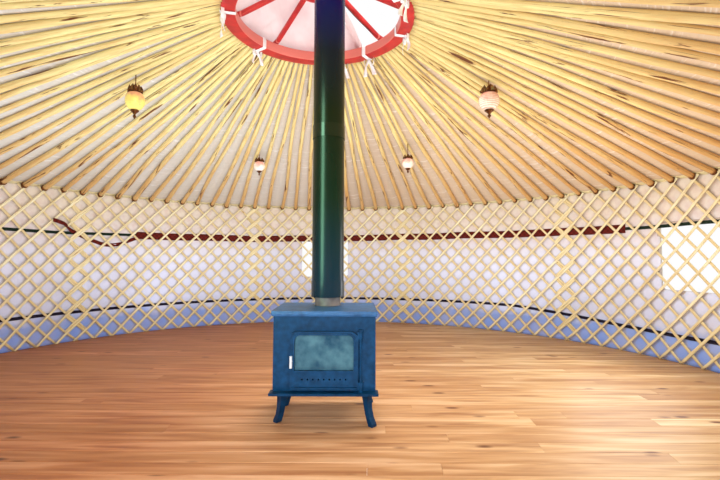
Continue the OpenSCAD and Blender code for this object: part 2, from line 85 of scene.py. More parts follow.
# %% Sizes of the ring
WALL_R, WALL_H = 3.5, 1.748
TOP = FLOOR + WALL_H
ROD_W, ROD_T = 0.028, 0.014
SECTIONS, COLS, RISE = 9, 11, 8
DOOR_AZ = math.radians(178.5)
DOOR_W, POST_W, LINTEL_H = 1.04, 0.07, 0.10
DOOR_ANG = 2 * math.asin((DOOR_W / 2 + 0.006) / WALL_R)
PITCH = (2 * math.pi - DOOR_ANG) / (SECTIONS * COLS)
FIRST_AZ = DOOR_AZ + DOOR_ANG / 2
CROWN_R, HOOP_W, HOOP_H, TIP_RISE = 0.763, 0.112, 0.09, 0.025
CROWN_Z = FLOOR + 2.869
HOOP_TOP = CROWN_Z + HOOP_H
HUB_R, HUB_Z = 0.2, HOOP_TOP + 0.25
POLES, DOOR_POLES, POLE_D = 104, 4, 0.036
FACETS = POLES // 2
FACET_K = 1 / math.cos(math.pi / FACETS)
FOOT_R = WALL_R + ROD_T
BODY = "yurt"
HAIR = 0.0003  # keeps two faces that touch from lying in one plane

roof_tilt = math.atan((CROWN_Z + TIP_RISE - TOP - POLE_D / 2) / (FOOT_R - CROWN_R))
HALF_POLE = POLE_D / 2 / math.cos(roof_tilt)
FOOT_Z = TOP + HAIR + HALF_POLE - POLE_D * math.sin(roof_tilt) * math.tan(roof_tilt)
ROOF_TAN = (CROWN_Z + TIP_RISE - FOOT_Z) / (FOOT_R - CROWN_R)


def pole_z(r):
    """Height of a pole's middle line at radius r: it climbs straight from the wall to the crown."""
    return FOOT_Z + (FOOT_R - r) * ROOF_TAN


def roof_top(r):
    """Height of the poles' upper edge at the folds of the faceted cloth."""
    return pole_z(r / FACET_K) + HALF_POLE


print("column", round(math.degrees(PITCH), 3), "deg")
print("roof slope", round(math.degrees(math.atan(ROOF_TAN)), 1), "deg")

# %% [markdown]
# ## Putting surfaces into meshes
#
# Every new piece is a grid of points worked out with numpy. One helper turns any
# number of equal grids into one mesh, closes them where they meet and caps their
# ends, and another carries a section along many paths at once. Modelling by hand would
# give the same shapes, but a formula repeats a hundred poles without a slip.

# %% Points and angles
def stacked(*parts):
    """Arrays of one shape, broadcast where needed, as the last axis: points from x, y and z."""
    return np.stack(np.broadcast_arrays(*parts), -1)


def turn(r, az, z):
    """Point at radius r, bearing az (clockwise from +Y) and height z: (r sin az, r cos az, z)."""
    return stacked(r * np.sin(az), r * np.cos(az), z)


def sideways(az, path):
    """Level unit vector a quarter turn clockwise of bearing az, for every point of a path."""
    return np.broadcast_to(turn(1.0, az + math.pi / 2, 0.0), path.shape)


def around(n):
    """n angles evenly round a full turn: 2 pi i / n."""
    return np.arange(n) * 2 * np.pi / n


def unit(v):
    """Vectors of length one along the last axis."""
    return v / np.maximum(np.linalg.norm(v, axis=-1, keepdims=True), 1e-9)


print("a point 1 m to the right of the middle:", turn(1.0, math.pi / 2, 0.0).round(3).tolist())

# %% [markdown]
# A rod, a board or a roll of cloth is one flat section carried along a line. A curve
# with a bevel does that too, but its section stays the same all the way. A grid of
# points can change it at every step, which the knots of a stem and a lumpy roll need.

# %% Sections carried along paths
def ellipse(n, a, b, power=2.0):
    """n points of a rounded section |x/a|^p + |y/b|^p = 1."""
    c, s = np.cos(around(n)), np.sin(around(n))
    return stacked(a * np.sign(c) * np.abs(c) ** (2 / power), b * np.sign(s) * np.abs(s) ** (2 / power))


def sweep(paths, across, profile, scale=1.0):
    """Points p + x*s + y*n for every profile point (x, y): s lies across the path, n completes the frame."""
    ahead = unit(np.gradient(paths, axis=-2))
    side = unit(across - (across * ahead).sum(-1, keepdims=True) * ahead)
    normal = np.cross(ahead, side)
    grow = np.broadcast_to(np.asarray(scale, float), paths.shape[:-1])[..., None, None]
    return (paths[..., None, :] + grow * (profile[:, 0, None] * side[..., None, :]
            + profile[:, 1, None] * normal[..., None, :]))


def lengths(line):
    """Length along a bent line from its first corner to each corner: running sum of its straight runs."""
    return np.concatenate([[0], np.cumsum(np.linalg.norm(np.diff(line, axis=0), axis=1))])


def along(line, way):
    """Both coordinates of the points that lie the given lengths along a bent line."""
    return [np.interp(way, lengths(line), np.array(line)[:, k]) for k in (0, 1)]


print("a circle of four points:", ellipse(4, 1, 1).round(2).tolist())

# %% [markdown]
# A mesh is a list of points and a list of faces that name them by number. In a grid the
# numbers follow a rule, so all the quads of a piece are worked out at once. Where a grid
# meets itself, its last column joins the first, which leaves no seam to close.

# %% Faces of a grid
def grid_faces(count, rows, cols, loop_rows=False, loop_cols=False, caps=False):
    """Quads of `count` grids of rows x cols points, wrapped where asked, with end caps as one face each."""
    rr, cc = np.meshgrid(np.arange(rows if loop_rows else rows - 1),
                         np.arange(cols if loop_cols else cols - 1), indexing="ij")
    below, above = rr * cols, (rr + 1) % rows * cols
    left, right = cc, (cc + 1) % cols
    quads = np.stack([below + left, below + right, above + right, above + left], -1).reshape(-1, 4)
    base = np.arange(count)[:, None, None] * rows * cols
    faces = (quads[None] + base).reshape(-1, 4).tolist()
    if caps:
        ring = np.arange(cols)
        first = (ring[::-1][None] + base[:, 0]).tolist()
        last = (ring[None] + (rows - 1) * cols + base[:, 0]).tolist()
        faces += first + last
    return faces


print("faces of one open grid of 3 x 3 points:", len(grid_faces(1, 3, 3)))

# %% [markdown]
# A new piece gets its mesh, the metres along its surface, its tone and the body that it
# rides on in one place, so that none of them is forgotten. Cloth gets its thickness from
# a Solidify modifier, because one sheet of points is easier to fold than two.

# %% From points to pieces
def add_piece(name, points, faces, uv=None, tone=None, smooth=True, flip=False):
    """A mesh object on the tent's body, from points and faces; flip turns every face inside out.

    uv gives each point its metres along the surface, and tone one number.
    """
    if flip:
        faces = [face[::-1] for face in faces]
    mesh = bpy.data.meshes.new(name)
    mesh.from_pydata(np.asarray(points, float).reshape(-1, 3).tolist(), [], faces)
    loops = np.empty(len(mesh.loops), dtype=np.int32)
    mesh.loops.foreach_get("vertex_index", loops)
    if uv is not None:
        layer = mesh.uv_layers.new(name="surface")
        layer.data.foreach_set("uv", np.asarray(uv, np.float32).reshape(-1, 2)[loops].ravel())
    if tone is not None:
        attr = mesh.attributes.new("tone", "FLOAT", "POINT")
        attr.data.foreach_set("value", np.asarray(tone, np.float32).ravel())
    mesh.polygons.foreach_set("use_smooth", np.full(len(mesh.polygons), smooth))
    mesh.update()
    piece = bpy.data.objects.new(name, mesh)
    bpy.context.collection.objects.link(piece)
    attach(piece, BODY)
    return piece


def add_tubes(name, grids, uv=None, tone=None, **how):
    """Capped tubes from an array of (tubes, rings, sides, 3)."""
    count, rings, sides = grids.shape[:3]
    faces = grid_faces(count, rings, sides, loop_cols=True, caps=True)
    return add_piece(name, grids, faces, uv, tone, **how)


def thicken(piece, thickness=0.0015):
    """Solidify gives a cloth its two faces and closes its edges."""
    mod = piece.modifiers.new("thickness", "SOLIDIFY")
    mod.thickness, mod.offset = thickness, 0.0
    return piece


def dress(piece, material):
    """Gives a piece, or a CAD node by name, one material."""
    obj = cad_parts[piece] if isinstance(piece, str) else piece
    obj.data.materials.clear()
    obj.data.materials.append(material)
    return obj


print("CAD nodes to dress:", len(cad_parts))

# %% [markdown]
# ## Colours and shader nodes
#
# Colours are written as sRGB hex, as a paint card gives them, and turned to the linear
# values that Blender mixes in. Shader nodes could be wired by hand in the editor, but a
# line of code for each can be read, repeated and changed for all pieces at once.

# %% Colours and nodes
def linear(code):
    """sRGB hex to linear RGBA: ((c + 0.055) / 1.055) ** 2.4 above the short straight part."""
    c = np.array([int(code[i:i + 2], 16) for i in (1, 3, 5)]) / 255
    c = np.where(c <= 0.04045, c / 12.92, ((c + 0.055) / 1.055) ** 2.4)
    return (*c.tolist(), 1.0)


def node(tree, kind, inputs=None, out=0, stops=(), **settings):
    """Adds one node and gives back one of its outputs; an input takes a socket, a number or a hex colour."""
    n = tree.nodes.new("ShaderNode" + kind)
    for key, value in settings.items():
        setattr(n, key, value)
    for key, value in (inputs or {}).items():
        if isinstance(value, bpy.types.NodeSocket):
            tree.links.new(value, n.inputs[key])
        else:
            n.inputs[key].default_value = linear(value) if isinstance(value, str) else value
    for i, (place, code) in enumerate(stops):
        mark = n.color_ramp.elements[i] if i < 2 else n.color_ramp.elements.new(place)
        mark.position, mark.color = place, linear(code)
    return n.outputs[out]


print("middle grey #808080 is", round(linear("#808080")[0], 3), "in linear light")

# %% [markdown]
# A pattern needs a place to be read from. What belongs to the tent, such as damp near the
# floor, is read from the object's own metres, and what belongs to a stem or a cloth
# follows its surface. Noise of a real size in millimetres stands for stains and grain.
# A drawn image could stand for them too, but every piece would have to be unwrapped.

# %% Places and patterns
TONE_APART = 37.0  # metres between the patterns of two pieces whose tones differ by 1


def own_tone(tree):
    """The number that each point of a piece carries."""
    return node(tree, "Attribute", out="Fac", attribute_name="tone")


def metres(tree, axis, own=False):
    """Metres along one axis of the object, or of the piece's own surface."""
    place = node(tree, "TexCoord", out="UV" if own else "Object")
    return node(tree, "SeparateXYZ", {0: place}, out=axis)


def on_surface(tree, own=False):
    """Metres along x, y, z of the object, or along the piece's own surface and shifted by its tone."""
    if not own:
        return node(tree, "TexCoord", out="Object")
    apart = node(tree, "Math", {0: own_tone(tree), 1: TONE_APART}, operation="MULTIPLY")
    shift = node(tree, "CombineXYZ", {"Z": apart})
    return node(tree, "VectorMath", {0: node(tree, "TexCoord", out="UV"), 1: shift})


def from_axis(tree):
    """Distance from the middle of the tent: the length of (x, y, 0)."""
    flat = node(tree, "VectorMath", {0: on_surface(tree), 1: (1, 1, 0)}, operation="MULTIPLY")
    return node(tree, "VectorMath", {0: flat}, out="Value", operation="LENGTH")


def patches(tree, size_mm, detail=2.0, stretch=(1, 1, 1), own=False, rough=0.5, warp=0.0):
    """Cloudy patches about size_mm wide, drawn out where stretch is below 1, as a number in 0..1."""
    place = node(tree, "Mapping", {"Vector": on_surface(tree, own), "Scale": stretch})
    return node(tree, "TexNoise", {"Vector": place, "Scale": 1000 / size_mm, "Detail": detail,
                                   "Roughness": rough, "Distortion": warp}, out="Fac")


def mottled(size_mm, dark, pale, detail=4.0, **how):
    """Colour that drifts between two paints over patches of a real size."""
    def build(tree):
        cloud = patches(tree, size_mm, detail, **how)
        return node(tree, "ValToRGB", {0: cloud}, stops=((0.32, dark), (0.68, pale)))
    return build


def relief(size_mm, detail, stretch=(1, 1, 1), **how):
    """Height pattern for a bump, from patches of a real size."""
    return lambda tree: patches(tree, size_mm, detail, stretch, **how)


print("patches of 250 mm have a noise scale of", 1000 / 250)

# %% [markdown]
# A finish is built up as a painter does it: a base, then one coat after another where a
# pattern says so. All of them end in one principled shader, which keeps the balance of
# shine and colour true; thin cloth adds a second one for the light that it passes on.

# %% Coats and finishes
def painted(tree, base, *coats):
    """Lays coats over a base: each is a paint and a pattern for its share, with stops to sharpen it."""
    for paint, pattern, *stops in coats:
        share = node(tree, "ValToRGB", {0: pattern}, stops=stops) if stops else pattern
        base = node(tree, "Mix", {0: share, 6: base, 7: paint}, out=2, data_type="RGBA")
    return base


def finish_with(name, colour, roughness=0.6, bump=None, bump_mm=0.3, through=0.0, **sockets):
    """A principled shader: colour and bump build nodes, through is the share of light that passes."""
    mat = bpy.data.materials.new(name)
    mat.use_nodes = True
    tree = mat.node_tree
    shader = tree.nodes["Principled BSDF"]
    shader.inputs["Roughness"].default_value = roughness
    made = colour if isinstance(colour, str) else colour(tree)
    if isinstance(made, str):
        shader.inputs["Base Color"].default_value = linear(made)
    else:
        tree.links.new(made, shader.inputs["Base Color"])
    if bump:
        raised = node(tree, "Bump", {"Height": bump(tree), "Strength": 1.0, "Distance": bump_mm / 1000})
        tree.links.new(raised, shader.inputs["Normal"])
    for key, value in sockets.items():
        shader.inputs[key.replace("_", " ")].default_value = value
    if through:
        pass_on = node(tree, "BsdfTranslucent", {"Color": made})
        both = node(tree, "MixShader", {0: through, 1: shader.outputs[0], 2: pass_on})
        tree.links.new(both, tree.nodes["Material Output"].inputs["Surface"])
    return mat


print("finishes so far:", len(bpy.data.materials))

# %% [markdown]
# ## Woods
#
# The lattice and the roof poles are thin coppiced stems, peeled and sanded. A picture
# of bark could be wrapped round them, but it would repeat on all of them. Here the tone
# changes from stem to stem, as each one carries a number called *tone*, and the grain
# is noise drawn out along the stem in its own surface coordinates.

# %% Grain of stems and planks
SUN_SLOPE, SUN_MIDDLE = 0.34, 0.36  # share of sun gained in each metre to the right, and at the middle


def stem_colour(pale, mid, dark, flecks, foot):
    """Peeled stem: broad tone, long grain, browner towards the foot, painted shade on its last few
    centimetres, and flecks of knots and bark.
    """
    def build(tree):
        grain = patches(tree, 110, 3, (0.6, 9, 1), own=True, warp=0.3)
        base = node(tree, "ValToRGB", {0: grain}, stops=((0.30, mid), (0.60, pale)))
        # The tone is each stem's own, plus painted light by bearing on the poles and painted shade on the
        # outer layer of rods.
        drift = node(tree, "Math", {0: own_tone(tree), 1: 0.5}, operation="MULTIPLY")
        # Half of the metres from the foot, because a ramp ends at 1.
        run = node(tree, "Math", {0: metres(tree, "X", True), 1: 0.5}, operation="MULTIPLY")
        streak = patches(tree, 260, 4, (0.35, 7, 1), own=True, rough=0.6, warp=0.5)
        scar = patches(tree, 300, 4, (0.6, 7, 1), own=True, rough=0.6, warp=0.9)
        return painted(
            tree, base, (mid, drift),
            (foot, run, (0.014, "#ffffff"), (0.035, "#c8c8c8"), (0.34, "#b4b4b4"), (0.92, "#101010")),
            # Painted shade: the last few centimetres of the foot, where it sits in the crotch of the
            # lattice.
            (dark, run, (0.016, "#e0e0e0"), (0.032, "#000000")),
            (foot, streak, (flecks - 0.06, "#000000"), (flecks + 0.10, "#909090")),
            (dark, scar, (flecks, "#000000"), (flecks + 0.05, "#ffffff")))
    return build


def sunny(tree):
    """Share of painted daylight from the right window: slope * x + middle, kept between 0 and 1."""
    return node(tree, "Math", {0: metres(tree, "X"), 1: SUN_SLOPE, 2: SUN_MIDDLE},
                operation="MULTIPLY_ADD", use_clamp=True)


def plank_colour(tree):
    """Red-brown pine, painted paler and yellower towards the sunny window for the daylight there: bands of
    rings, knots, a tone for each board.
    """
    rings = patches(tree, 62, 4, (0.09, 1.0, 1), own=True, warp=0.5)
    # The second ramp is painted light: the boards as they look in the window's daylight.
    ripe, window_lit = (node(tree, "ValToRGB", {0: rings}, stops=tuple(zip((0.30, 0.50, 0.72), paints)))
                      for paints in (("#8c4c2b", "#b17046", "#cf9269"), ("#9a724c", "#c8a475", "#e3caa3")))
    drift = node(tree, "Math", {0: own_tone(tree), 1: 0.55}, operation="MULTIPLY")
    place = node(tree, "Mapping", {"Vector": on_surface(tree, True), "Scale": (2.2, 5.5, 5.0)})
    knot = node(tree, "TexVoronoi", {"Vector": place, "Scale": 1.0}, out="Distance")
    return painted(tree, ripe, (window_lit, sunny(tree)), ("#96612f", drift),
                   ("#63361b", knot, (0.05, "#ffffff"), (0.13, "#000000")))


def timber(name, pale, dark, roughness=0.6):
    """Sawn softwood, oiled and matt, its upright grain raised a little by the saw."""
    grain = mottled(70, dark, pale, stretch=(1, 1, 0.08), warp=0.4)
    return finish_with(name, grain, roughness, relief(25, 3, (1, 1, 0.06)), 0.4)


print("full sun from x =", round((1 - SUN_MIDDLE) / SUN_SLOPE, 2), "m")

# %% [markdown]
# Each wood then gets its paints, its shine and the height of its grain. Bare stems are
# duller than the varnished floor, and the bearers, which lie in the wet, are the greyest.
# One wood for all would be less work, but age and wear are what tell them apart.

# %% Wood finishes
# Grain 20 mm wide with finer lines down to 3 mm, raised along a stem or a board.
long_grain = relief(45, 3, (0.12, 2, 1), own=True)

# Peeled and sanded stems keep a soft sheen; they are browner towards the foot, with painted shade at its
# very end.
POLE = finish_with("roof_pole_wood", stem_colour("#f8eea6", "#e3c27c", "#6b3a1c", 0.60, "#c87f40"),
                   0.5, long_grain, 0.8)
# Split rods are paler and cleaner, so that the lattice reads light against the lining.
ROD = finish_with("lattice_rod_wood", stem_colour("#fffbd8", "#dcc38c", "#a97c48", 0.68, "#eedca6"),
                  0.5, long_grain, 0.5)
# Varnished pine has a low, broad shine over its bands of rings.
BOARDS = finish_with("deck_pine", plank_colour, 0.44, long_grain, 0.15, Specular_IOR_Level=0.3)
FRAME_WOOD = timber("door_frame_wood", "#c99a63", "#8f6234")
DOOR_WOOD = timber("door_board_wood", "#bb8a54", "#855a2f")
# The bearers lie in the wet, so they have greyed and gone dull.
BEARER = timber("bearer_wood", "#94764f", "#5f4a30", 0.8)
print("woods:", POLE.name, ROD.name, BOARDS.name, FRAME_WOOD.name, DOOR_WOOD.name, BEARER.name)

# %% [markdown]
# ## The lattice
#
# Each wall section is a trellis of thin rods in two layers that cross. A rod winds
# round the ring while it climbs, so at height share t it stands at
# bearing = start + (column + way * 8 * t) * pitch. Rods that would leave the section
# stop at its edge. The rods that lean to the right lie inside, the others outside.
# An array modifier could repeat one rod, but then all of them would be alike.

# %% Rods of a section
NECK = 0.028            # height of the wall above its last row of crossings
TIP = 0.055 / (WALL_H - NECK)
SPLIT = 0.45            # columns that a section reaches past its last crossing
END_GAP = 0.0075        # height share by which rods stop short of the door posts


def rods_of_section(k):
    """Start and end height shares, column and way of every rod in section k."""
    past0, past1 = SPLIT * (k > 0), SPLIT * (k < SECTIONS - 1)
    rods = []
    for way in (1, -1):
        for col in range(-RISE, COLS + RISE + 1):
            if way > 0:
                t0, t1 = (-past0 - col) / RISE, (COLS + past1 - col) / RISE
            else:
                t0, t1 = (col - COLS - past1) / RISE, (col + past0) / RISE
            t0, t1 = max(0, t0), min(1 + TIP, t1)
            if t1 - t0 > 0.06:
                rods.append((t0, t1, col, way))
    return np.array(rods)


print("rods of the first section:", len(rods_of_section(0)))

# %% [markdown]
# Neighbouring sections lap over each other by a column and are tied there, so the last
# rods of one and the first of the next stand side by side. Each rod gets its own sway,
# thickness and tone from a seed, so that the wall comes out the same on every run.

# %% Lattice sections
ROD_RINGS, ROD_SIDES = 25, 10
LAP = 0.13  # columns that lapped rods are pushed apart


def lattice_section(k):
    """All rods of one section: bearing = start + (column + way * 8 * t + shift) * pitch, with a slow sway.

    The shift pushes the first and last column of a section to the side of the next one's.
    """
    t0, t1, col, way = rods_of_section(k).T[:, :, None]
    seed = np.random.default_rng(100 + k)
    at_start, at_end = k == 0, k == SECTIONS - 1
    # Rods that reach a door post stop a little short of it.
    door = at_start & (way * col <= 0) | at_end
    late = (t0 > 0) & door | at_start & (way > 0) & (col == 0)
    early = at_start & (way < 0) | at_end & (way > 0)
    first = np.where(late, t0 + END_GAP, t0)
    last = np.where(early, np.minimum(t1, 1 + TIP) - END_GAP, t1)
    t = first + (last - first) * np.linspace(0, 1, ROD_RINGS)[None]
    count = len(t)
    place = col + way * RISE * t
    shift = LAP * (np.clip((place - COLS + 0.6) / 0.8, 0, 1) * (not at_end)
                   - np.clip((0.6 - place) / 0.8, 0, 1) * (not at_start))
    # A rod sways by 2 mm and is up to a tenth thinner than the next.
    phase = seed.uniform(0, 6.3, (2, count, 1))
    sway = 0.0018 * np.sin(9 * t + phase[0]) + 0.0012 * np.sin(23 * t + phase[1])
    az = FIRST_AZ + k * COLS * PITCH + (place + shift) * PITCH + sway / WALL_R
    r = WALL_R - way * (ROD_T / 2 - 0.0008) + 0.4 * sway
    path = turn(r, az, FLOOR + 0.0004 + t * (WALL_H - NECK))
    across = np.cross(turn(1.0, az, 0.0), np.gradient(path, axis=1))
    size = seed.uniform(0.90, 1.06, (count, 1)) * (1 + 0.03 * np.sin(31 * t + phase[1]))
    grid = sweep(path, across, ellipse(ROD_SIDES, ROD_W / 2, ROD_T / 2, 2.6), size)
    grid[..., 2] = np.maximum(grid[..., 2], FLOOR + HAIR)
    run = np.cumsum(np.linalg.norm(np.diff(path, axis=1, prepend=path[:, :1]), axis=-1), axis=1)
    uv = stacked(run[..., None] + 0.4, np.arange(ROD_SIDES) * 0.008)
    # The outer layer gets 1.1 more tone and so a darker colour: painted shade, as those rods lie behind the
    # inner ones.
    tone = seed.uniform(0, 0.7, (count, 1, 1)) + 1.1 * (way < 0)[:, None]
    return grid, uv, np.broadcast_to(tone, grid.shape[:3])


for k in range(SECTIONS):
    grid, uv, tone = lattice_section(k)
    piece = add_tubes(f"lattice_{k + 1}_rods", grid, uv, tone)
    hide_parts(f"lattice_{k + 1}")
    dress(piece, ROD)
print("rods in one section:", len(grid))

# %% [markdown]
# ## The roof poles
#
# The poles run from the lattice top to the crown. Real ones are stems: thick at the
# foot, thin at the tip, never quite straight, and swollen at the knots. One bent stem
# could be copied round the ring, but the eye would find the copies at once. So slow sine
# waves bend each line its own way, and its tone and its knots are its own too.

# %% Roof poles
POLE_RINGS, POLE_SIDES, PER_NODE = 44, 12, 13
FOOT_D, TIP_D, POLE_LEN = 0.054, 0.040, 2.98
FOOT_OUT = FOOT_R + 0.004
TIP_IN = CROWN_R + 0.0015


def pole_bearings():
    """Bearings of all the poles: one on each lattice column, then four evenly over the door."""
    wall = FIRST_AZ + np.arange(POLES - DOOR_POLES) * PITCH
    door = DOOR_AZ - DOOR_ANG / 2 + np.arange(1, DOOR_POLES + 1) * DOOR_ANG / (DOOR_POLES + 1)
    return np.concatenate([wall, door])


def roof_pole_grids(az, seed):
    """Tapered, gently bent poles: r falls from the wall to the crown, the top edge touches the cloth."""
    n = len(az)
    s = np.linspace(0, 1, POLE_RINGS)[None]
    r = FOOT_OUT - (FOOT_OUT - TIP_IN) * s
    phase = seed.uniform(0, 6.3, (5, n, 1))
    # Each stem has its own thickness and swells by 3 per cent at its knots.
    thick = (FOOT_D + (TIP_D - FOOT_D) * s) * seed.uniform(0.80, 1.12, (n, 1))
    thick = thick * (1 + 0.035 * np.sin(17 * s + phase[0]) + 0.03 * np.sin(41 * s + phase[1]))
    # It bends sideways by up to 24 mm, and not at all at its ends.
    hold = np.sin(np.pi * s) ** 0.7
    bend = hold * (0.024 * np.sin(2.6 * s + phase[2]) + 0.010 * np.sin(7.5 * s + phase[3]))
    z = pole_z(r) + (POLE_D - thick) / 2 / math.cos(roof_tilt) - 0.0015
    path = turn(r, az[:, None], z)
    across = sideways(az[:, None], path)
    path = path + bend[..., None] * across
    grid = sweep(path, across, ellipse(POLE_SIDES, 0.5, 0.5), thick)
    angle = around(POLE_SIDES)
    knots = np.sin(29 * s[..., None] + 2 * angle + phase[4][..., None]) * np.sin(11 * s[..., None] + angle)
    grid += (grid - path[..., None, :]) * (0.05 * knots ** 3)[..., None]
    uv = np.broadcast_to(stacked((s * POLE_LEN)[..., None], angle * 0.02), (*grid.shape[:3], 2))
    # Painted light: poles towards the right bearings take more of the darker, warmer mid tone, for the
    # warmer light on that side of the roof.
    warm = 0.55 + 0.45 * np.sin(az - math.radians(10))
    tone = (seed.uniform(0, 0.9, n) + 0.6 * warm)[:, None, None]
    return grid, uv, np.broadcast_to(tone, grid.shape[:3])


POLE_AZ = pole_bearings()
feet = []
for g in range(POLES // PER_NODE):
    bearings = POLE_AZ[g * PER_NODE:(g + 1) * PER_NODE]
    grid, uv, tone = roof_pole_grids(bearings, np.random.default_rng(300 + g))
    feet.append(grid[:, :2])
    piece = add_tubes(f"roof_poles_{g + 1}_stems", grid, uv, tone)
    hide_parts(f"roof_poles_{g + 1}")
    dress(piece, POLE)
print("poles:", len(POLE_AZ))

# %% [markdown]
# Each pole is tied down to the lattice with a few turns of jute. A turn is a ring of the
# pole itself, grown by the thickness of the cord, so it sits tight on every crooked stem.
# A bare torus would float off a stem that isn't round.

# %% Lashings at the feet
CORD_R, CORD_SIDES = 0.0028, 6
LASH_PLACES = (0.40, 0.52, 0.64)  # shares of the way from a pole's first ring to its second


def lashing_grids(feet):
    """Three turns near the foot: path = ring + r * outward, with a round section carried along it."""
    at = np.array(LASH_PLACES)[None, :, None, None]
    rings = feet[:, :1] * (1 - at) + feet[:, 1:2] * at
    out = unit(rings - rings.mean(2, keepdims=True))
    path = rings + CORD_R * out
    path[..., 2] = np.minimum(path[..., 2], roof_top(np.hypot(path[..., 0], path[..., 1])) - CORD_R)
    side = np.cross(unit(np.roll(path, -1, 2) - np.roll(path, 1, 2)), out)
    angle = around(CORD_SIDES)[:, None]
    section = np.cos(angle) * out[..., None, :] + np.sin(angle) * side[..., None, :]
    tube = path[..., None, :] + CORD_R * section
    return tube.reshape(-1, POLE_SIDES, CORD_SIDES, 3)


# Jute is matt and hairy, and its fibres show as brown specks 12 mm long.
JUTE = finish_with("jute_cord", mottled(12, "#55301a", "#85522a"), 0.9)
cords = lashing_grids(np.concatenate(feet))
cord_faces = grid_faces(len(cords), POLE_SIDES, CORD_SIDES, loop_rows=True, loop_cols=True)
lashings = add_piece("pole_lashings", cords, cord_faces)
dress(lashings, JUTE)
print("turns of cord:", len(cords))

# %% [markdown]
# ## The floor
#
# Pine boards run across the tent. Every board is a rounded strip from rim to rim, sawn
# to the circle of the deck: its ends follow x = +-sqrt(R^2 - y^2). Longer rows are
# butted from two or three boards. Cutting one round slab into strips would leave them
# all with the same grain, so each board is a grid of its own.

# %% Floor boards
CLOTH_STEP = 0.0043  # from one layer of the wall to the next
BAND_R = (FOOT_R + HAIR) * FACET_K + 0.0006
LINING_R = BAND_R + CLOTH_STEP
CANVAS_R = LINING_R + CLOTH_STEP
SKIRT_R = (CANVAS_R + CLOTH_STEP) * FACET_K
DECK_R = (CANVAS_R + 0.004) * 0.999
BOARD_W, BOARD_H = 0.12, 0.025
BOARD_GAP, BOARD_EDGE, BUTT_GAP = 0.0007, 0.0016, 0.0006
BOARD_RINGS = 8


def floor_boards():
    """Grid for each board: x = share * sqrt(R^2 - y^2) for eight points round its section."""
    low, high = BOARD_GAP, BOARD_W - BOARD_GAP
    near, far = low + BOARD_EDGE, high - BOARD_EDGE
    y = np.array([low, low, near, far, high, high, far, near])
    foot, lip = -BOARD_H, -BOARD_EDGE
    z = FLOOR + np.array([foot - lip, lip, 0, 0, lip, foot - lip, foot, foot])
    reach = math.ceil(DECK_R / BOARD_W)
    grids, uvs, tones = [], [], []
    for row in range(-reach, reach):
        ys = np.clip(row * BOARD_W + y, -DECK_R + 0.002, DECK_R - 0.002)
        half = np.sqrt(DECK_R ** 2 - ys ** 2)
        # Slivers at the rim are left out, and rows of more than 4 m have two joints.
        if np.ptp(ys) < 0.02 or half.max() < 0.2:
            continue
        joints, spread = (2, 0.75) if half.max() > 2 else (1, 0.4)
        cuts = [-1.0, *sorted(rng.uniform(-spread, spread, joints).tolist()), 1.0]
        for a, b in zip(cuts[:-1], cuts[1:]):
            x = np.linspace(a, b, BOARD_RINGS)[:, None] * half
            x[0] += BUTT_GAP * (a > -1)
            x[-1] -= BUTT_GAP * (b < 1)
            grids.append(stacked(x, ys, z))
            uvs.append(stacked(x, y))
            tones.append(np.full(x.shape, rng.uniform(0, 1)))
    return np.array(grids), np.array(uvs), np.array(tones)


rng = np.random.default_rng(7)
grid, uv, tone = floor_boards()
floor_piece = add_tubes("floor_boards", grid, uv, tone, smooth=False)
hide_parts("floor_deck")
dress(floor_piece, BOARDS)
print("boards:", len(grid))

# %% [markdown]
# ## Cloth
#
# Cloth stretched on poles is nearly flat, but it never looks flat. Its hills are the
# mean of plane waves in many directions, with one wavelength in mind and a stretch that
# draws them out along one way, as a pull in the cloth does. A cloth simulation would
# find such folds too, but it has to run again whenever a size changes.

# %% Folds and threads
def folds(u, v, length, stretch=1.0, seed=1, waves=18):
    """Soft random hills in -1..1: mean of sin(k . p + phase), about `length` m long, drawn out along v."""
    g = np.random.default_rng(seed)
    heading, phase = g.uniform(0, 2 * np.pi, (2, waves))
    k = 2 * np.pi / length * g.uniform(0.6, 1.8, waves)
    total = sum(np.sin(k[i] * (np.cos(heading[i]) * u + np.sin(heading[i]) * v / stretch) + phase[i])
                for i in range(waves))
    return total / math.sqrt(waves * 1.6)


def weave(tree):
    """Fine threads of canvas, drawn 4 mm apart so that they show, over soft creases, as a height."""
    threads = node(tree, "Math", {0: patches(tree, 4, 1, (1, 1, 0.25)), 1: 0.35}, operation="MULTIPLY")
    return node(tree, "Math", {0: patches(tree, 83, 4), 1: threads}, operation="ADD")


print("hills at one place:", round(float(folds(0.3, 0.4, 0.5)), 2))

# %% [markdown]
# The linings are plain unbleached cotton, and painted light tones them where a flat colour
# can't: the roof lining is warmer near the sunny window, the wall lining is painted lit and
# warm above the band and shaded and cool below it, with painted shade brown along the rods.

# %% Lining materials
HEM_TAPE = 0.045

# Creases of a lightly crumpled lining: about 40 mm wide and 200 mm long, across the poles.
crumple = relief(190, 4, (5.0, 0.9, 1), own=True, rough=0.5, warp=0.7)


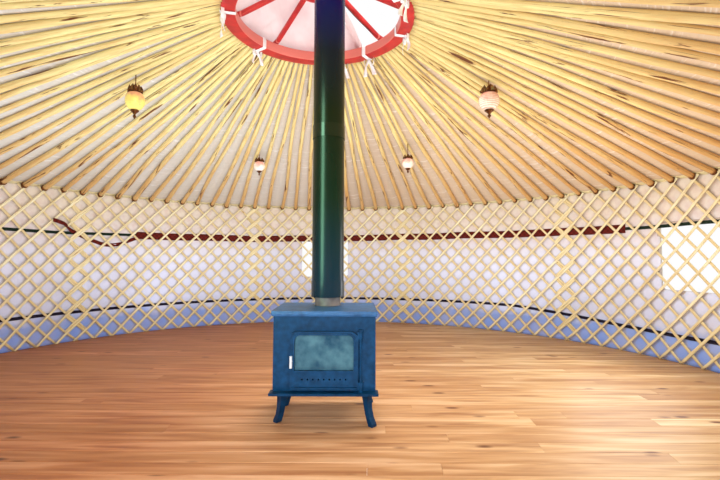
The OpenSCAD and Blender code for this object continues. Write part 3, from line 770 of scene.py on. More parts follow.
def creased_cotton(tree):
    """Roof lining with painted light: warmer towards the sunny window, painted shade in its crease valleys
    and painted highlights on their crests, and a hem tape at the eaves.
    """
    # Painted light: cool grey on the left, warm buff towards the window on the right.
    sides = ((0.1, "#cdc5b8"), (0.55, "#c4ad93"), (0.85, "#d3ba9c"))
    crease_light_and_shade = crumple(tree)
    hem = node(tree, "Math", {0: metres(tree, "X", True), 1: FOOT_R - HEM_TAPE}, operation="GREATER_THAN")
    return painted(
        tree, node(tree, "ValToRGB", {0: sunny(tree)}, stops=sides),
        ("#b9ad9c", patches(tree, 600, 5.0, rough=0.6), (0.32, "#606060"), (0.68, "#000000")),
        # Painted shade in the valleys of the creases, then painted highlights on their crests.
        ("#b4a490", crease_light_and_shade, (0.28, "#909090"), (0.42, "#000000")),
        ("#fdfdff", crease_light_and_shade, (0.58, "#000000"), (0.70, "#a0a0a0")), ("#fbf2c0", hem))


def wavy_height(tree, size_mm, depth):
    """Height above the ground plus patches of a depth in metres, so that no paint ends in a line."""
    return node(tree, "Math", {0: patches(tree, size_mm, 4), 1: depth, 2: metres(tree, "Z")},
                operation="MULTIPLY_ADD")


def wall_lining_colour(tree):
    """Painted light: warm grey-beige above the band for lit cloth, lavender white below it for cloth in
    shade, bluer near the floor, and painted shade along the rods.
    """
    raised = node(tree, "Math", {0: wavy_height(tree, 260, 0.24), 1: FLOOR + 0.12}, operation="SUBTRACT")
    up = node(tree, "Math", {0: raised, 1: WALL_H}, operation="DIVIDE", use_clamp=True)
    # Painted light: the warm stops above the band stand for lit cloth, the lavender stops below it for cloth
    # in shade.
    base = node(tree, "ValToRGB", {0: up}, stops=(
        (0.0, "#7fa2f8"), (0.14, "#8caefc"), (0.19, "#d6defe"), (0.58, "#e3e7fc"),
        (0.70, "#e2dce2"), (0.82, "#e6dcd1"), (1.0, "#e7dac4")))
    above = node(tree, "ValToRGB", {0: up}, stops=((0.62, "#000000"), (0.74, "#ffffff")))
    bloom = node(tree, "ValToRGB", {0: patches(tree, 60, 4)}, stops=((0.42, "#000000"), (0.66, "#909090")))
    pink = node(tree, "Math", {0: above, 1: bloom}, operation="MULTIPLY")
    # The own_tone coat is painted shade: brown along the rods, where the tone is low, fading into each
    # diamond.
    return painted(tree, base, ("#cfcbd8", patches(tree, 330, 5), (0.35, "#909090"), (0.6, "#000000")),
                   ("#b8a48e", own_tone(tree), (0.0, "#d8d8d8"), (0.58, "#000000")), ("#c9a49c", pink))


# Cotton is dull, and the thin cloth lets a trace of daylight through, which a weak glow stands for.
LINING = finish_with("lining_cotton", wall_lining_colour, 0.9, weave, 2.0,
                     Emission_Color=linear("#e4e6ff"), Emission_Strength=0.02)
ROOF_LINING = finish_with("roof_lining_cotton", creased_cotton, 0.8, crumple, 6.0,
                          Emission_Color=linear("#ffeccf"), Emission_Strength=0.05)
print("linings:", LINING.name, ROOF_LINING.name)

# %% [markdown]
# The outer canvas is sewn from sixteen widths and has stood in the weather; the cover of
# the crown is a thinner cotton that lets the sky shine through. Both could be plain
# cream, but the seams and the splashed foot are what tell canvas from plaster.

# %% Canvas and cover materials
CANVAS_WIDTHS = 16


def seam(tree):
    """1 along the sewn seams, 25 mm wide: |fract(16 a / 2 pi) - 1/2| * r is small there."""
    way = node(tree, "Math", {0: metres(tree, "X"), 1: metres(tree, "Y")}, operation="ARCTAN2")
    widths = node(tree, "Math", {0: way, 1: CANVAS_WIDTHS / (2 * math.pi)}, operation="MULTIPLY")
    share = node(tree, "Math", {0: widths}, operation="FRACT")
    middle = node(tree, "Math", {0: share, 1: 0.5}, operation="SUBTRACT")
    off = node(tree, "Math", {0: middle}, operation="ABSOLUTE")
    apart = node(tree, "Math", {0: off, 1: from_axis(tree)}, operation="MULTIPLY")
    return node(tree, "ValToRGB", {0: apart}, stops=((0.030, "#ffffff"), (0.045, "#000000")))


def canvas_colour(tree):
    """Weathered natural canvas: soft clouds of grey, seams, and rain splash along the foot."""
    return painted(tree, mottled(900, "#cac4b6", "#dcd7cc", 5.0, rough=0.6)(tree), ("#b4ad98", seam(tree)),
                   ("#a59a80", wavy_height(tree, 180, 0.25), (0.22, "#a0a0a0"), (0.52, "#000000")))


def canvas_relief(tree):
    """Weave and creases with the seams standing out of them, as a height."""
    return node(tree, "Math", {0: seam(tree), 1: 0.8, 2: weave(tree)}, operation="MULTIPLY_ADD")


# Long shallow creases, about 200 mm apart, where the cover is pulled to its ties.
pulled = relief(200, 3, (1, 0.22, 1), warp=0.7)


def cover_colour(tree):
    """Rinsed pink-white cotton, painted a little deeper in its creases as painted shade."""
    return painted(tree, mottled(600, "#ecdedc", "#f8eeed", 5.0, rough=0.6)(tree),
                   # Painted shade in the crease valleys.
                   ("#e4cccb", pulled(tree), (0.34, "#c0c0c0"), (0.50, "#000000")))


# Heavy proofed cotton: dull, with threads and seams that side light picks out.
CANVAS = finish_with("outer_canvas_cotton", canvas_colour, 0.85, canvas_relief, 3.0)
# Thin cotton: more than half of the light that falls on it goes through.
COVER = finish_with("crown_cover_cotton", cover_colour, 0.85, pulled, 12.0, through=0.6)
print("outer cloths:", CANVAS.name, COVER.name)

# %% [markdown]
# ## The cloths of the wall
#
# Three windows are cut through both cloths, and two bands run round behind the lattice.
# Neither band is level: the upper one climbs and the lower one dips where it is tied.
# Their heights are functions of the bearing, so that cloth and bands can share them.

# %% Places of the windows and bands
WINDOW_AZ = np.radians([357.5, 439.5, 279.5])
WINDOW_W, WINDOW_H, WINDOW_Z = 0.73, 0.64, FLOOR + 0.69
CLOTH_A = math.asin((DOOR_W / 2 + 0.0006) / BAND_R)
AZ0, AZ1 = DOOR_AZ + CLOTH_A, DOOR_AZ + 2 * math.pi - CLOTH_A


def from_back(az):
    """Degrees right of the back wall, in -180..180."""
    return np.degrees((az + np.pi) % (2 * np.pi) - np.pi)


def upper_height(az):
    """Height of the upper band: it climbs by 45 mm from the left to the right of the back wall."""
    rise = np.clip((from_back(az) + 25) / 60, 0, 1)
    return 1.278 + 0.045 * rise ** 2 * (3 - 2 * rise) + 0.004 * folds(az * WALL_R, 0 * az, 1.2, 1, 41)


def lower_height(az):
    """Height of the lower band, straight between its ties; it dips where it is tied on the right."""
    return np.interp(from_back(az), [-172, -90, -30, 38, 44, 66, 76, 120, 172],
                     [0.33, 0.33, 0.35, 0.362, 0.36, 0.268, 0.25, 0.31, 0.33])


print("upper band", round(float(upper_height(np.array(0.0))), 3), "m above the floor at the back")

# %% [markdown]
# The lining is pressed in between the rods by the felt behind it, so every diamond of
# the lattice swells towards the room. The canvas outside hangs in long soft folds. Both
# are one cylinder of small cells, with the cells over the windows left out: a boolean
# cut would do that too, but it would tear up the even grid that the folds need.

# %% Wall lining and wall canvas
CELL_W, CELL_H = 0.030, 0.0345


def marks_between(edges, step):
    """Even marks about a step apart from edge to edge, with every edge among them."""
    runs = [np.linspace(a, b, max(2, int((b - a) / step)) + 1) for a, b in zip(edges[:-1], edges[1:])]
    return np.unique(np.concatenate(runs))


def wall_grid(radius, z0, z1, deep, quilt):
    """Cylinder of cloth from door post to door post: r = radius + folds - swell, windows left out.

    Each diamond swells by quilt * |sin(pi a) sin(pi b)|, where a and b count the rods of
    either layer, but not under the two bands, which hold the cloth down.
    """
    half = WINDOW_W / 2 / radius
    az = marks_between(np.sort([AZ0, AZ1, *(WINDOW_AZ - half), *(WINDOW_AZ + half)]), CELL_W / radius)
    z = marks_between([z0, WINDOW_Z, WINDOW_Z + WINDOW_H, z1], CELL_H)
    aa, zz = np.meshgrid(az, z, indexing="ij")
    arc = aa * radius
    wave = deep * (0.65 * folds(arc, zz, 0.55, 2.6, 5) + 0.35 * folds(arc, zz, 0.16, 2.0, 6))
    # The canvas is pulled flat under the eaves, where the roof ties it down.
    eaves_hold = np.clip((TOP - 0.18 - zz) / 0.12, 0.2, 1) if deep > 0.005 else 1
    wave = np.maximum(wave, -0.002) * eaves_hold
    place, climb = (aa - FIRST_AZ) / PITCH, RISE * (zz - FLOOR) / (WALL_H - NECK)
    swell = np.abs(np.sin(np.pi * (place - climb)) * np.sin(np.pi * (place + climb)))
    free = np.clip(np.abs(zz - FLOOR - upper_height(aa)) / 0.06 - 1.0, 0, 1)
    free = free * np.clip(np.abs(zz - FLOOR - lower_height(aa)) / 0.04 - 0.8, 0, 1)
    points = turn(radius + wave - quilt * swell * free, aa, zz)
    faces = np.array(grid_faces(1, len(az), len(z)))
    mid_az, mid_z = aa.ravel()[faces].mean(1), zz.ravel()[faces].mean(1)
    beside = np.abs(mid_az[:, None] - WINDOW_AZ).min(1) < half
    inside = beside & (mid_z > WINDOW_Z) & (mid_z < WINDOW_Z + WINDOW_H)
    # The swell goes out as the tone, by which the lining's finish paints shade along the rods.
    return points, faces[~inside].tolist(), stacked(arc, zz), swell


for name, radius, z0, z1, deep, quilt, material, slot_name in (
        ("wall_lining", LINING_R + 0.0005, FLOOR + 0.002, TOP + 0.036, 0.003, 0.012, LINING, "lining_cloth"),
        ("wall_canvas", CANVAS_R + 0.003, FLOOR + 0.001, TOP + 0.030, 0.013, 0.0, CANVAS, "outer_canvas")):
    piece = thicken(add_piece(name + "_cloth", *wall_grid(radius, z0, z1, deep, quilt)))
    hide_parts(name)
    dress(piece, material)

# %% [markdown]
# ## The bands
#
# Two woven straps run round the wall behind the lattice and hold the cloth to it. A
# strap is five points wide and follows a height that changes with the bearing. An
# extruded curve gives a strap too, but it can't carry a tone for its broad part.

# %% Straps
STRAP_STEPS = 160


def band_piece(name, runs, material):
    """Joins straps, each z = height + v * width: runs holds (bearings, heights, width, radii, tone)."""
    v = np.linspace(-0.5, 0.5, 5)
    grids, tones, uvs = [], [], []
    for az, middle, width, radius, tone in runs:
        z = FLOOR + middle[:, None] + v * width
        grids.append(turn(radius[:, None], az[:, None], z))
        tones.append(np.full(z.shape, tone))
        uvs.append(stacked(az[:, None] * WALL_R, z))
    faces = grid_faces(len(runs), STRAP_STEPS, len(v))
    piece = thicken(add_piece(name, np.array(grids), faces, np.array(uvs), np.array(tones)), 0.003)
    dress(piece, material)
    return piece


def strap_colour(plain, broad, figure):
    """Woven strap: tone 0 is the plain narrow part, tone 1 the broad one with a faint 30 mm figure."""
    def build(tree):
        cells = node(tree, "TexChecker", {"Vector": node(tree, "TexCoord", out="UV"), "Scale": 34.0,
                                          "Color1": broad, "Color2": figure})
        worn = painted(tree, cells, (broad, patches(tree, 33, 3)))
        return painted(tree, plain, (worn, own_tone(tree)))
    return build


# Woven wool is matt, with a faint figure that wear has blurred.
BAND = finish_with("woven_band", strap_colour("#12271f", "#500d0a", "#7c2018"), 0.9, weave, 1.0)
DARK_BAND = finish_with("dark_band", strap_colour("#1c1830", "#1c1830", "#1c1830"), 0.9, weave, 0.8)

print("a strap steps every", round(math.degrees((AZ1 - AZ0) / (STRAP_STEPS - 1)), 2), "deg")

# %% [markdown]
# The upper band is narrow and dark at the sides, and broad and red across the back. Its
# loose end is tied off on the left, in front of the rods. The corners of that end are the
# few points where it bends, and a running mean of the heights rounds them as cloth does.

# %% Bands round the lattice
BROAD_W, NARROW_W, TAIL_W, LOWER_W = 0.095, 0.033, 0.045, 0.034
STRAP_R = BAND_R - 0.002
LEFT_END, RIGHT_END = np.radians([-47.5, 67.5])
START, STOP = AZ0 - 2 * np.pi, AZ1 - 2 * np.pi


def tail_run():
    """Loose end of the upper band: it drops from the broad part, turns up and comes forward at its tip."""
    corners_az = np.radians([-46.5, -48.5, -50.6, -53.3, -55.5, -58.4, -60.6, -61.9, -63.9])
    corners_z = [1.262, 1.215, 1.155, 1.137, 1.175, 1.248, 1.316, 1.378, 1.415]
    share, at = np.linspace(0, 1, STRAP_STEPS), np.linspace(0, 1, len(corners_z))
    height = np.pad(np.interp(share, at, corners_z), 8, "edge")
    rounded = np.convolve(height, np.ones(17) / 17, "valid")
    forward = 0.0045 + 0.047 * np.clip((share - 0.72) / 0.12, 0, 1)
    return np.interp(share, at, corners_az), rounded, TAIL_W, BAND_R - forward, 1.0


runs = []
for a, b, width, tone in ((START, LEFT_END, NARROW_W, 0.0), (LEFT_END, RIGHT_END, BROAD_W, 1.0),
                          (RIGHT_END, STOP, NARROW_W, 0.0)):
    az = np.linspace(a, b, STRAP_STEPS)
    runs.append((az, upper_height(az), width, STRAP_R + 0 * az, tone))
upper = band_piece("upper_band_strap", [*runs, tail_run()], BAND)
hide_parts("upper_band")

az = np.linspace(START, STOP, STRAP_STEPS)
lower_run = (az, lower_height(az), LOWER_W, STRAP_R + 0 * az, 0.0)
lower = band_piece("lower_band_strap", [lower_run], DARK_BAND)
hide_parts("lower_band")

# %% [markdown]
# ## The roof cloths
#
# The lining lies on the poles and droops between them, more so where they stand further
# apart. It is a cone of rings of points, six to each gap between two poles, so that the
# droop follows the poles exactly. Cloth physics would lay it down too, but far slower.

# %% Roof lining
CLOTH_IN, CLOTH_OUT = CROWN_R + 0.004, FOOT_R + 0.006
PER_GAP, DROOP, WRINKLE = 6, 0.08, 0.012


def cone_height(r):
    """Height of the cloth over the poles at radius r."""
    return roof_top(r) + HAIR


def roof_lining_grid(rows=30):
    """Cone of cloth that droops between neighbouring poles: z = cone - droop * gap * sin^2(pi * place)."""
    r = np.linspace(CLOTH_IN, CLOTH_OUT, rows)[:, None]
    place = (np.arange(POLES * PER_GAP) / PER_GAP)[None]
    az = FIRST_AZ + place * 2 * np.pi / POLES
    gap = 2 * np.pi * r / POLES
    between = np.sin(np.pi * place) ** 2
    x, y = r * np.sin(az), r * np.cos(az)
    ripple = 0.6 * folds(x, y, 0.5, 1, 9) + 0.4 * folds(x, y, 0.13, 1, 10)
    fall = WRINKLE * gap / 0.2 * ripple * between - DROOP * gap * between
    return stacked(x, y, cone_height(r) + np.minimum(fall, 0)), stacked(r, r * az)


points, uv = roof_lining_grid()
faces = grid_faces(1, *points.shape[:2], loop_cols=True)
lining = thicken(add_piece("roof_lining_cloth", points, faces, uv, flip=True))
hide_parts("roof_lining")
dress(lining, ROOF_LINING)

# %% [markdown]
# The canvas is a second cone above the lining, held a little clear of it by the felt in
# between. Past the eaves its rows turn down into a skirt over the wall, whose hem waves
# in and out, and the cells over the door are left out as a notch. The solid could be
# smoothed instead, but it has no points between its folds for a wrinkle to use.

# %% Roof canvas
CANVAS_LIFT, SKIRT_DROP = 0.0075, 0.21
SKIRT_FOOT, NOTCH_TOP = TOP - 0.17, TOP - 0.055


def roof_canvas_grid(cols=416, rows=26, skirt_rows=7):
    """Outer cone with its skirt: past the eaves the rows turn down and the hem waves in and out."""
    edge = SKIRT_R + 0.002
    r = np.concatenate([np.linspace(CLOTH_IN, edge, rows), np.full(skirt_rows, edge)])[:, None]
    drop = np.concatenate([np.zeros(rows), np.linspace(0, 1, skirt_rows + 1)[1:]])[:, None]
    az = FIRST_AZ + around(cols)[None]
    x, y = np.sin(az), np.cos(az)
    eaves_z = cone_height(SKIRT_R) + CANVAS_LIFT
    gap = r / SKIRT_R
    hills = 0.009 * gap * np.maximum(folds(r * x, r * y, 0.6, 1, 61), -0.1)
    cone = cone_height(r) + CANVAS_LIFT + hills - 0.003 * gap * np.abs(np.sin(FACETS * (az - FIRST_AZ)))
    z = np.where(drop > 0, eaves_z + (SKIRT_FOOT - eaves_z) * drop, cone)
    wide = r + drop * 0.005 * (1 + np.sin(31 * az + 2 * np.sin(7 * az)))
    faces = np.array(grid_faces(1, len(r), cols, loop_cols=True))
    face_az = np.broadcast_to(az, z.shape).ravel()[faces]
    off = (face_az.mean(1) - DOOR_AZ + np.pi) % (2 * np.pi) - np.pi
    over_door = (np.ptp(face_az, axis=1) < 1) & (np.abs(off) < (DOOR_W / 2 + 0.01) / SKIRT_R)
    notch = over_door & (z.ravel()[faces].max(1) < NOTCH_TOP)
    return stacked(wide * x, wide * y, z), faces[~notch].tolist()


roof_canvas = thicken(add_piece("roof_canvas_cloth", *roof_canvas_grid(), flip=True), 0.002)
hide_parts("roof_canvas")
dress(roof_canvas, CANVAS)

# %% [markdown]
# ## The crown
#
# The crown is the wooden wheel at the top. Its hoop is bent from strips of wood and
# painted red, eight spokes rise from it to a small hub ring, and the pole tips sit in
# its rim. Each part is a rounded section carried along its line, which keeps the worn
# edges that a bevelled box would have to be given one by one.

# %% Crown hoop, spokes and hub
HOOP_IN = CROWN_R - HOOP_W
SPOKES, FIRST_SPOKE = 8, math.radians(-85)


def ring(name, inner, outer, low, high, power, steps=144, sides=28):
    """Rounded rectangle between the radii and heights, carried once round the middle, uneven by 1 mm."""
    section = ellipse(sides, (outer - inner) / 2, (high - low) / 2, power)
    az = around(steps)[:, None]
    uneven = 0.0008 * np.sin(3 * az) + 0.0005 * np.sin(11 * az)
    points = turn((inner + outer) / 2 + section[:, 0] + uneven, az, (low + high) / 2 + section[:, 1])
    return add_piece(name, points, grid_faces(1, steps, sides, loop_rows=True, loop_cols=True), flip=True)


def spoke_grid():
    """Eight spokes: each lies on the hoop, then bends and climbs in a straight line to the hub."""
    line = [(0.722, HOOP_TOP + 0.017), (0.690, HOOP_TOP + 0.020), (0.655, HOOP_TOP + 0.026),
            (0.628, HOOP_TOP + 0.036), (HUB_R + 0.006, HUB_Z - 0.017)]
    bend, end = lengths(line)[-2:]
    r, z = along(line, np.concatenate([np.linspace(0, bend, 9), np.linspace(bend, end, 16)[1:]]))
    az = (FIRST_SPOKE + around(SPOKES))[:, None]
    path = turn(r[None], az, z[None])
    return sweep(path, sideways(az, path), ellipse(16, 0.018, 0.019, 5))


hoop = ring("crown_hoop_wood", HOOP_IN, CROWN_R, CROWN_Z, HOOP_TOP, 9)
hub = ring("crown_hub_wood", HUB_R - 0.026, HUB_R + 0.0077, HUB_Z - 0.046, HUB_Z + 0.006, 6, 72)
spokes = add_tubes("crown_spokes_wood", spoke_grid())
for piece, stands_for in ((hoop, "crown_hoop"), (hub, "crown_hub"), (spokes, "crown_spokes")):
    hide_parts(stands_for)
print("spokes", SPOKES)

# %% [markdown]
# ## The cover of the crown
#
# A loose cloth covers most of the wheel and is folded back on the sunny side, so the sky
# shows there. It lies on the spokes and sinks a little between them. Where the flue
# passes, points inside the hole are pushed out to its rim, which leaves a clean circle.

# %% Crown cover with its flue hole
FLUE_X, FLUE_Y, FLUE_HOLE = 0.108, -0.43, 0.117
COVER_EDGE, COVER_SAG = 0.933, 0.032
COVER_AZ0 = FIRST_AZ - 10 * 2 * math.pi / FACETS
COVER_AZ1 = COVER_AZ0 + 39 * 2 * math.pi / FACETS


def cover_line(s):
    """Radius and height of the cover at share s, from the hub over the spokes and down over the hoop."""
    line = [(0.03, HUB_Z + 0.012), (0.208, HUB_Z + 0.012), (0.643, HOOP_TOP + 0.053),
            (0.771, HOOP_TOP + 0.018), (0.799, cone_height(0.797) + 0.014),
            (COVER_EDGE, cone_height(COVER_EDGE) + 0.014)]
    return along(line, s * lengths(line)[-1])


def cover_grid(rows=54, cols=240):
    """Cover from the hub to its hem: z = line - 32 mm * sin^2(4 a) between the spokes, with small folds."""
    r, z = (q[:, None] for q in cover_line(np.linspace(0, 1, rows)))
    az = np.linspace(COVER_AZ0, COVER_AZ1, cols)[None]
    free = np.clip((r - 0.2) / 0.15, 0, 1) * np.clip((0.66 - r) / 0.1, 0, 1)
    free = free * np.sin(SPOKES / 2 * (az - FIRST_SPOKE)) ** 2
    x, y = r * np.sin(az), r * np.cos(az)
    z = z + 0.005 - COVER_SAG * free + (0.0015 + 0.011 * free) * folds(x, y, 0.22, 1, 71)
    z = z + 0.006 * np.sin(60 * az) * np.clip((r - 0.78) / 0.1, 0, 1)
    dx, dy = x - FLUE_X, y - FLUE_Y
    d = np.hypot(dx, dy)
    grow = np.maximum(1, FLUE_HOLE / np.maximum(d, 1e-6))
    faces = np.array(grid_faces(1, rows, cols))
    inside = (d.ravel()[faces] < FLUE_HOLE).all(1)
    return stacked(FLUE_X + dx * grow, FLUE_Y + dy * grow, z), faces[~inside].tolist()


def roll_grid(az):
    """Rolled edge of the cover: a lumpy tube along the open side, its section turning as it goes."""
    s = np.linspace(0.16, 0.97, 46)
    r, z = cover_line(s)
    path = turn(r, az + 0.035 * np.sin(5 * s), z + 0.022)[None]
    grid = sweep(path, sideways(az, path), ellipse(18, 0.030, 0.020), 1 + 0.16 * np.sin(9 * s + az)[None])
    angle = around(18)
    ridge = 0.10 * np.sin(3 * angle + 14 * s[:, None]) + 0.06 * np.sin(7 * angle - 9 * s[:, None])
    return grid + (grid - path[..., None, :]) * ridge[None, ..., None]


cover = thicken(add_piece("crown_cover_cloth", *cover_grid(), flip=True))
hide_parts("crown_cover")
dress(cover, COVER)
roll = add_tubes("crown_cover_rolls", np.concatenate([roll_grid(COVER_AZ0), roll_grid(COVER_AZ1)]))
dress(roll, COVER)
print("the cover spans", round(math.degrees(COVER_AZ1 - COVER_AZ0)), "degrees of the crown")

# %% [markdown]
# Strips of white cotton tie the cover to the hoop. Each tie is a band round the hoop with
# a knot, two loops and two tails below it. Every strip is a line with a width, and a
# seed swings each bow its own way, so that no two hang alike. Cloth physics could let
# them fall, but it can't tie the knot first.

# %% Ties of the cover
TIE_STEPS = 22
TIES = ((-104, 1.0), (-53, 0.72), (14, 0.8), (35, 0.9), (76, 0.8), (120, 0.9), (200, 0.9))  # degrees, size


def tie_grid(az, size, seed):
    """Strips middle + c * w for c in -1..1: a band round the hoop, two loops, two loose tails and a knot."""
    g = np.random.default_rng(seed)
    ri, ro = HOOP_IN - 0.004, CROWN_R + 0.004
    line = [(ro, CROWN_Z + 0.02), (ro, CROWN_Z - 0.004), (CROWN_R - HOOP_W / 2, CROWN_Z - 0.005),
            (ri, CROWN_Z - 0.004), (ri, HOOP_TOP - 0.02), (ri + 0.01, HOOP_TOP + 0.006)]
    t = np.linspace(0, 1, TIE_STEPS)
    r, z = along(line, t * lengths(line)[-1])
    side, inward, down = turn(1.0, az + math.pi / 2, 0.0), -turn(1.0, az, 0.0), np.array([0, 0, -1.0])
    strips = [(turn(r, az, z), side, 0.019 + 0 * t)]
    knot = turn(CROWN_R - 0.02, az, CROWN_Z - 0.014)
    bow, curl = np.sin(np.pi * t)[:, None], (0.045 * np.sin(2 * np.pi * t) + 0.01)[:, None]
    fall = size * t[:, None]
    for lean in (-1, 1):
        swing = g.uniform(0, 6)
        loop = knot + size * (side * lean * 0.060 * bow + down * curl)
        strips.append((loop, inward + 0.3 * side, 0.012 + 0 * t))
        tail = knot + side * lean * 0.055 * fall ** 0.7 + down * 0.16 * fall
        tail = tail + inward * 0.015 * np.sin(4 * fall + swing)
        flat = unit(side + inward * 0.5 * np.sin(3 * t + swing)[:, None])
        strips.append((tail, flat, (0.015 + 0.008 * t) * size))
    knob = knot + (t[:, None] - 0.5) * 0.034 * side
    strips.append((knob, down, 0.016 * np.sin(np.pi * (0.15 + 0.7 * t))))
    lanes = np.linspace(-1, 1, 4)[None, :, None]
    return [middle[:, None] + lanes * (way * width[:, None])[:, None] for middle, way, width in strips]


strips = []
for i, (deg, size) in enumerate(TIES):
    strips += tie_grid(math.radians(deg), size, i)
ties = thicken(add_piece("crown_ties", np.array(strips), grid_faces(len(strips), TIE_STEPS, 4)), 0.0016)
# Bleached cotton tape: clean white and quite matt.
dress(ties, finish_with("tie_cotton", "#fdfcfa", 0.9))
print("strips of the ties:", len(strips))

# %% [markdown]
# A thin dark line runs from the hub to the hoop, by which the cover is drawn. It is taut
# and ends at both, so it is a round section on a line that sags by 20 mm. A curve would
# do as well here; the grid keeps the line in step with its neighbours.

# %% Crown line
LINE_AZ, LINE_RUN, LINE_SAG, LINE_R = math.radians(50), HOOP_IN - HUB_R + 0.05, 0.02, 0.004


def crown_line_grid():
    """Taut line from the hub to the hoop: z falls evenly and sags by LINE_SAG * sin(pi s)."""
    s = np.linspace(0, 1, 24)
    r = HUB_R - 0.02 + LINE_RUN * s
    z = HUB_Z - 0.03 + (HOOP_TOP + 0.006 - HUB_Z + 0.03) * s - LINE_SAG * np.sin(np.pi * s)
    path = turn(r, LINE_AZ, z)[None]
    return sweep(path, sideways(LINE_AZ, path), ellipse(8, LINE_R, LINE_R))


crown_line = add_tubes("crown_line", crown_line_grid())
# Tarred hemp is dark, with paler fibres where the tar has worn off.
dress(crown_line, finish_with("tarred_hemp", mottled(12, "#3a2a28", "#5d4542"), 0.9))
print("crown line", round(LINE_RUN, 2), "m across")

# %% [markdown]
# ## The door
#
# The entrance is behind the camera. Its leaf is built from upright boards with ledges
# across them outside. Separate boards show their joints as shadow lines, which a
# pattern on one slab would only hint at.

# %% Door boards
LEAF_BOARDS, SILL_H = 8, 0.025
LEDGES = (0.1, 0.82)  # their heights as shares of the leaf
LEAF_W = DOOR_W - 2 * POST_W - 2 * HAIR
LEAF_H = WALL_H - LINTEL_H - SILL_H - 2 * HAIR


def beam(start, end, across, half_w, half_t):
    """Rounded board between two points: a section carried straight, drawn in a little at both ends."""
    near = (end - start) * 0.002
    path = np.array([start, start + near, end - near, end])[None]
    section = ellipse(12, half_w, half_t, 9)
    return sweep(path, np.broadcast_to(across, path.shape), section, np.array([[0.97, 1, 1, 0.97]]))


def leaf_boards():
    """Eight upright boards that fill the leaf, two ledges outside and a pull inside."""
    out, width, up = turn(1.0, DOOR_AZ, 0.0), turn(1.0, DOOR_AZ - math.pi / 2, 0.0), np.array([0, 0, 1.0])
    foot = out * WALL_R * math.cos(DOOR_ANG / 2) + up * (FLOOR + SILL_H + HAIR)
    parts = []
    for i in range(LEAF_BOARDS):
        low = foot + width * (-LEAF_W / 2 + (i + 0.5) * LEAF_W / LEAF_BOARDS)
        parts.append(beam(low, low + up * LEAF_H, width, LEAF_W / LEAF_BOARDS / 2 - 0.0006, 0.0198))
    for share in LEDGES:
        left = foot - width * LEAF_W * 0.45 + out * 0.031 + up * (LEAF_H * share + 0.05)
        parts.append(beam(left, left + width * LEAF_W * 0.9, up, 0.05, 0.011))
    pull = foot + width * (LEAF_W * 0.4 + 0.012) - out * 0.037 + up * LEAF_H * 0.5
    parts.append(beam(pull, pull + up * 0.15, width, 0.012, 0.0165))
    return np.concatenate(parts)


parts = leaf_boards()
leaf = add_tubes("door_leaf_boards", parts, smooth=False)
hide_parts("door_leaf")
dress(leaf, DOOR_WOOD)
print("boards, ledges and pull of the leaf:", len(parts))

# %% [markdown]
# ## Windows
#
# The windows are clear sheets sewn behind the openings, with a taped hem. A flat plane
# would gleam all at once, as glass does, so each sheet follows the wall's curve and ripples
# by a millimetre or two.

# %% Window sheets and their hems
HEM_W = 0.030


def window_place(bearing, u, v, grow, radius):
    """Bearing and height at shares u, v in -1..1 of a window's half width and height, grown by `grow`."""
    az = bearing + u * (WINDOW_W / 2 + grow) / radius
    return az, WINDOW_Z + WINDOW_H / 2 + v * (WINDOW_H / 2 + grow)


def window_grid(bearing):
    """Sheet behind one opening: the wall's curve plus ripples of 1.2 mm."""
    radius = CANVAS_R + 0.002
    u, v = np.meshgrid(np.linspace(-1, 1, 18), np.linspace(-1, 1, 14))
    az, z = window_place(bearing, u, v, -0.002, radius)
    return turn(radius + 0.0012 * folds(az * radius, z, 0.35, 1.5, 17), az, z)


def hem_grid(bearing):
    """Closed strip round one opening: (cos t, sin t) / max(|cos t|, |sin t|) draws its rectangle."""
    radius = LINING_R - 0.0035
    c, s = np.cos(around(60)), np.sin(around(60))
    square = np.maximum(np.abs(c), np.abs(s))
    grow = np.linspace(-0.002, HEM_W, 3)[:, None]
    return turn(radius, *window_place(bearing, c / square, s / square, grow, radius))


sheets = np.array([window_grid(w) for w in WINDOW_AZ])
panes = thicken(add_piece("window_panes_sheet", sheets, grid_faces(3, 14, 18)), 0.0008)
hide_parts("window_panes")
tapes = np.array([hem_grid(w) for w in WINDOW_AZ])
hems = thicken(add_piece("window_hems", tapes, grid_faces(3, 3, 60, loop_cols=True)), 0.0016)
dress(hems, LINING)
print("windows", len(WINDOW_AZ), "of", round(WINDOW_W * WINDOW_H, 2), "m2")

# %% [markdown]
# ## Lanterns
#
# The lanterns are globes of ribbed glass between a cut metal crown and a finial. They are
# turned shapes, so each part is an outline of heights and radii, as shares of the width
# of the globe. The Spin tool turns an outline too, but it can't wind a rib round it.

# %% Outlines of a lantern
# For each: its pole, radius in the tent, drop below the pole, width of the globe, slimness.
LANTERNS = ((26, 1.572, 0.240, 0.180, 0.86), (72, 1.514, 0.195, 0.180, 1),
            (43, 2.200, 0.150, 0.140, 1), (58, 2.004, 0.240, 0.140, 1))
GLASS_TONES = (0.0, 0.55, 1.0, 0.8)
GLOBE = ((0.425, 0.20), (0.42, 0.24), (0.36, 0.37), (0.26, 0.445), (0.14, 0.488), (0.02, 0.499),
         (-0.10, 0.483), (-0.20, 0.443), (-0.29, 0.375), (-0.36, 0.295), (-0.41, 0.20))
METAL_CROWN = ((0.43, 0.0), (0.43, 0.24), (0.47, 0.28), (0.50, 0.31), (0.56, 0.36), (0.63, 0.37),
               (0.64, 0.33), (0.60, 0.22), (0.62, 0.14), (0.68, 0.08), (0.73, 0.10), (0.77, 0.06),
               (0.82, 0.035), (0.86, 0.022), (0.86, 0.0))
FINIAL = ((-0.42, 0.0), (-0.42, 0.21), (-0.46, 0.23), (-0.50, 0.18), (-0.56, 0.11), (-0.60, 0.07),
          (-0.65, 0.05), (-0.70, 0.09), (-0.74, 0.085), (-0.78, 0.05), (-0.83, 0.02), (-0.86, 0.0))
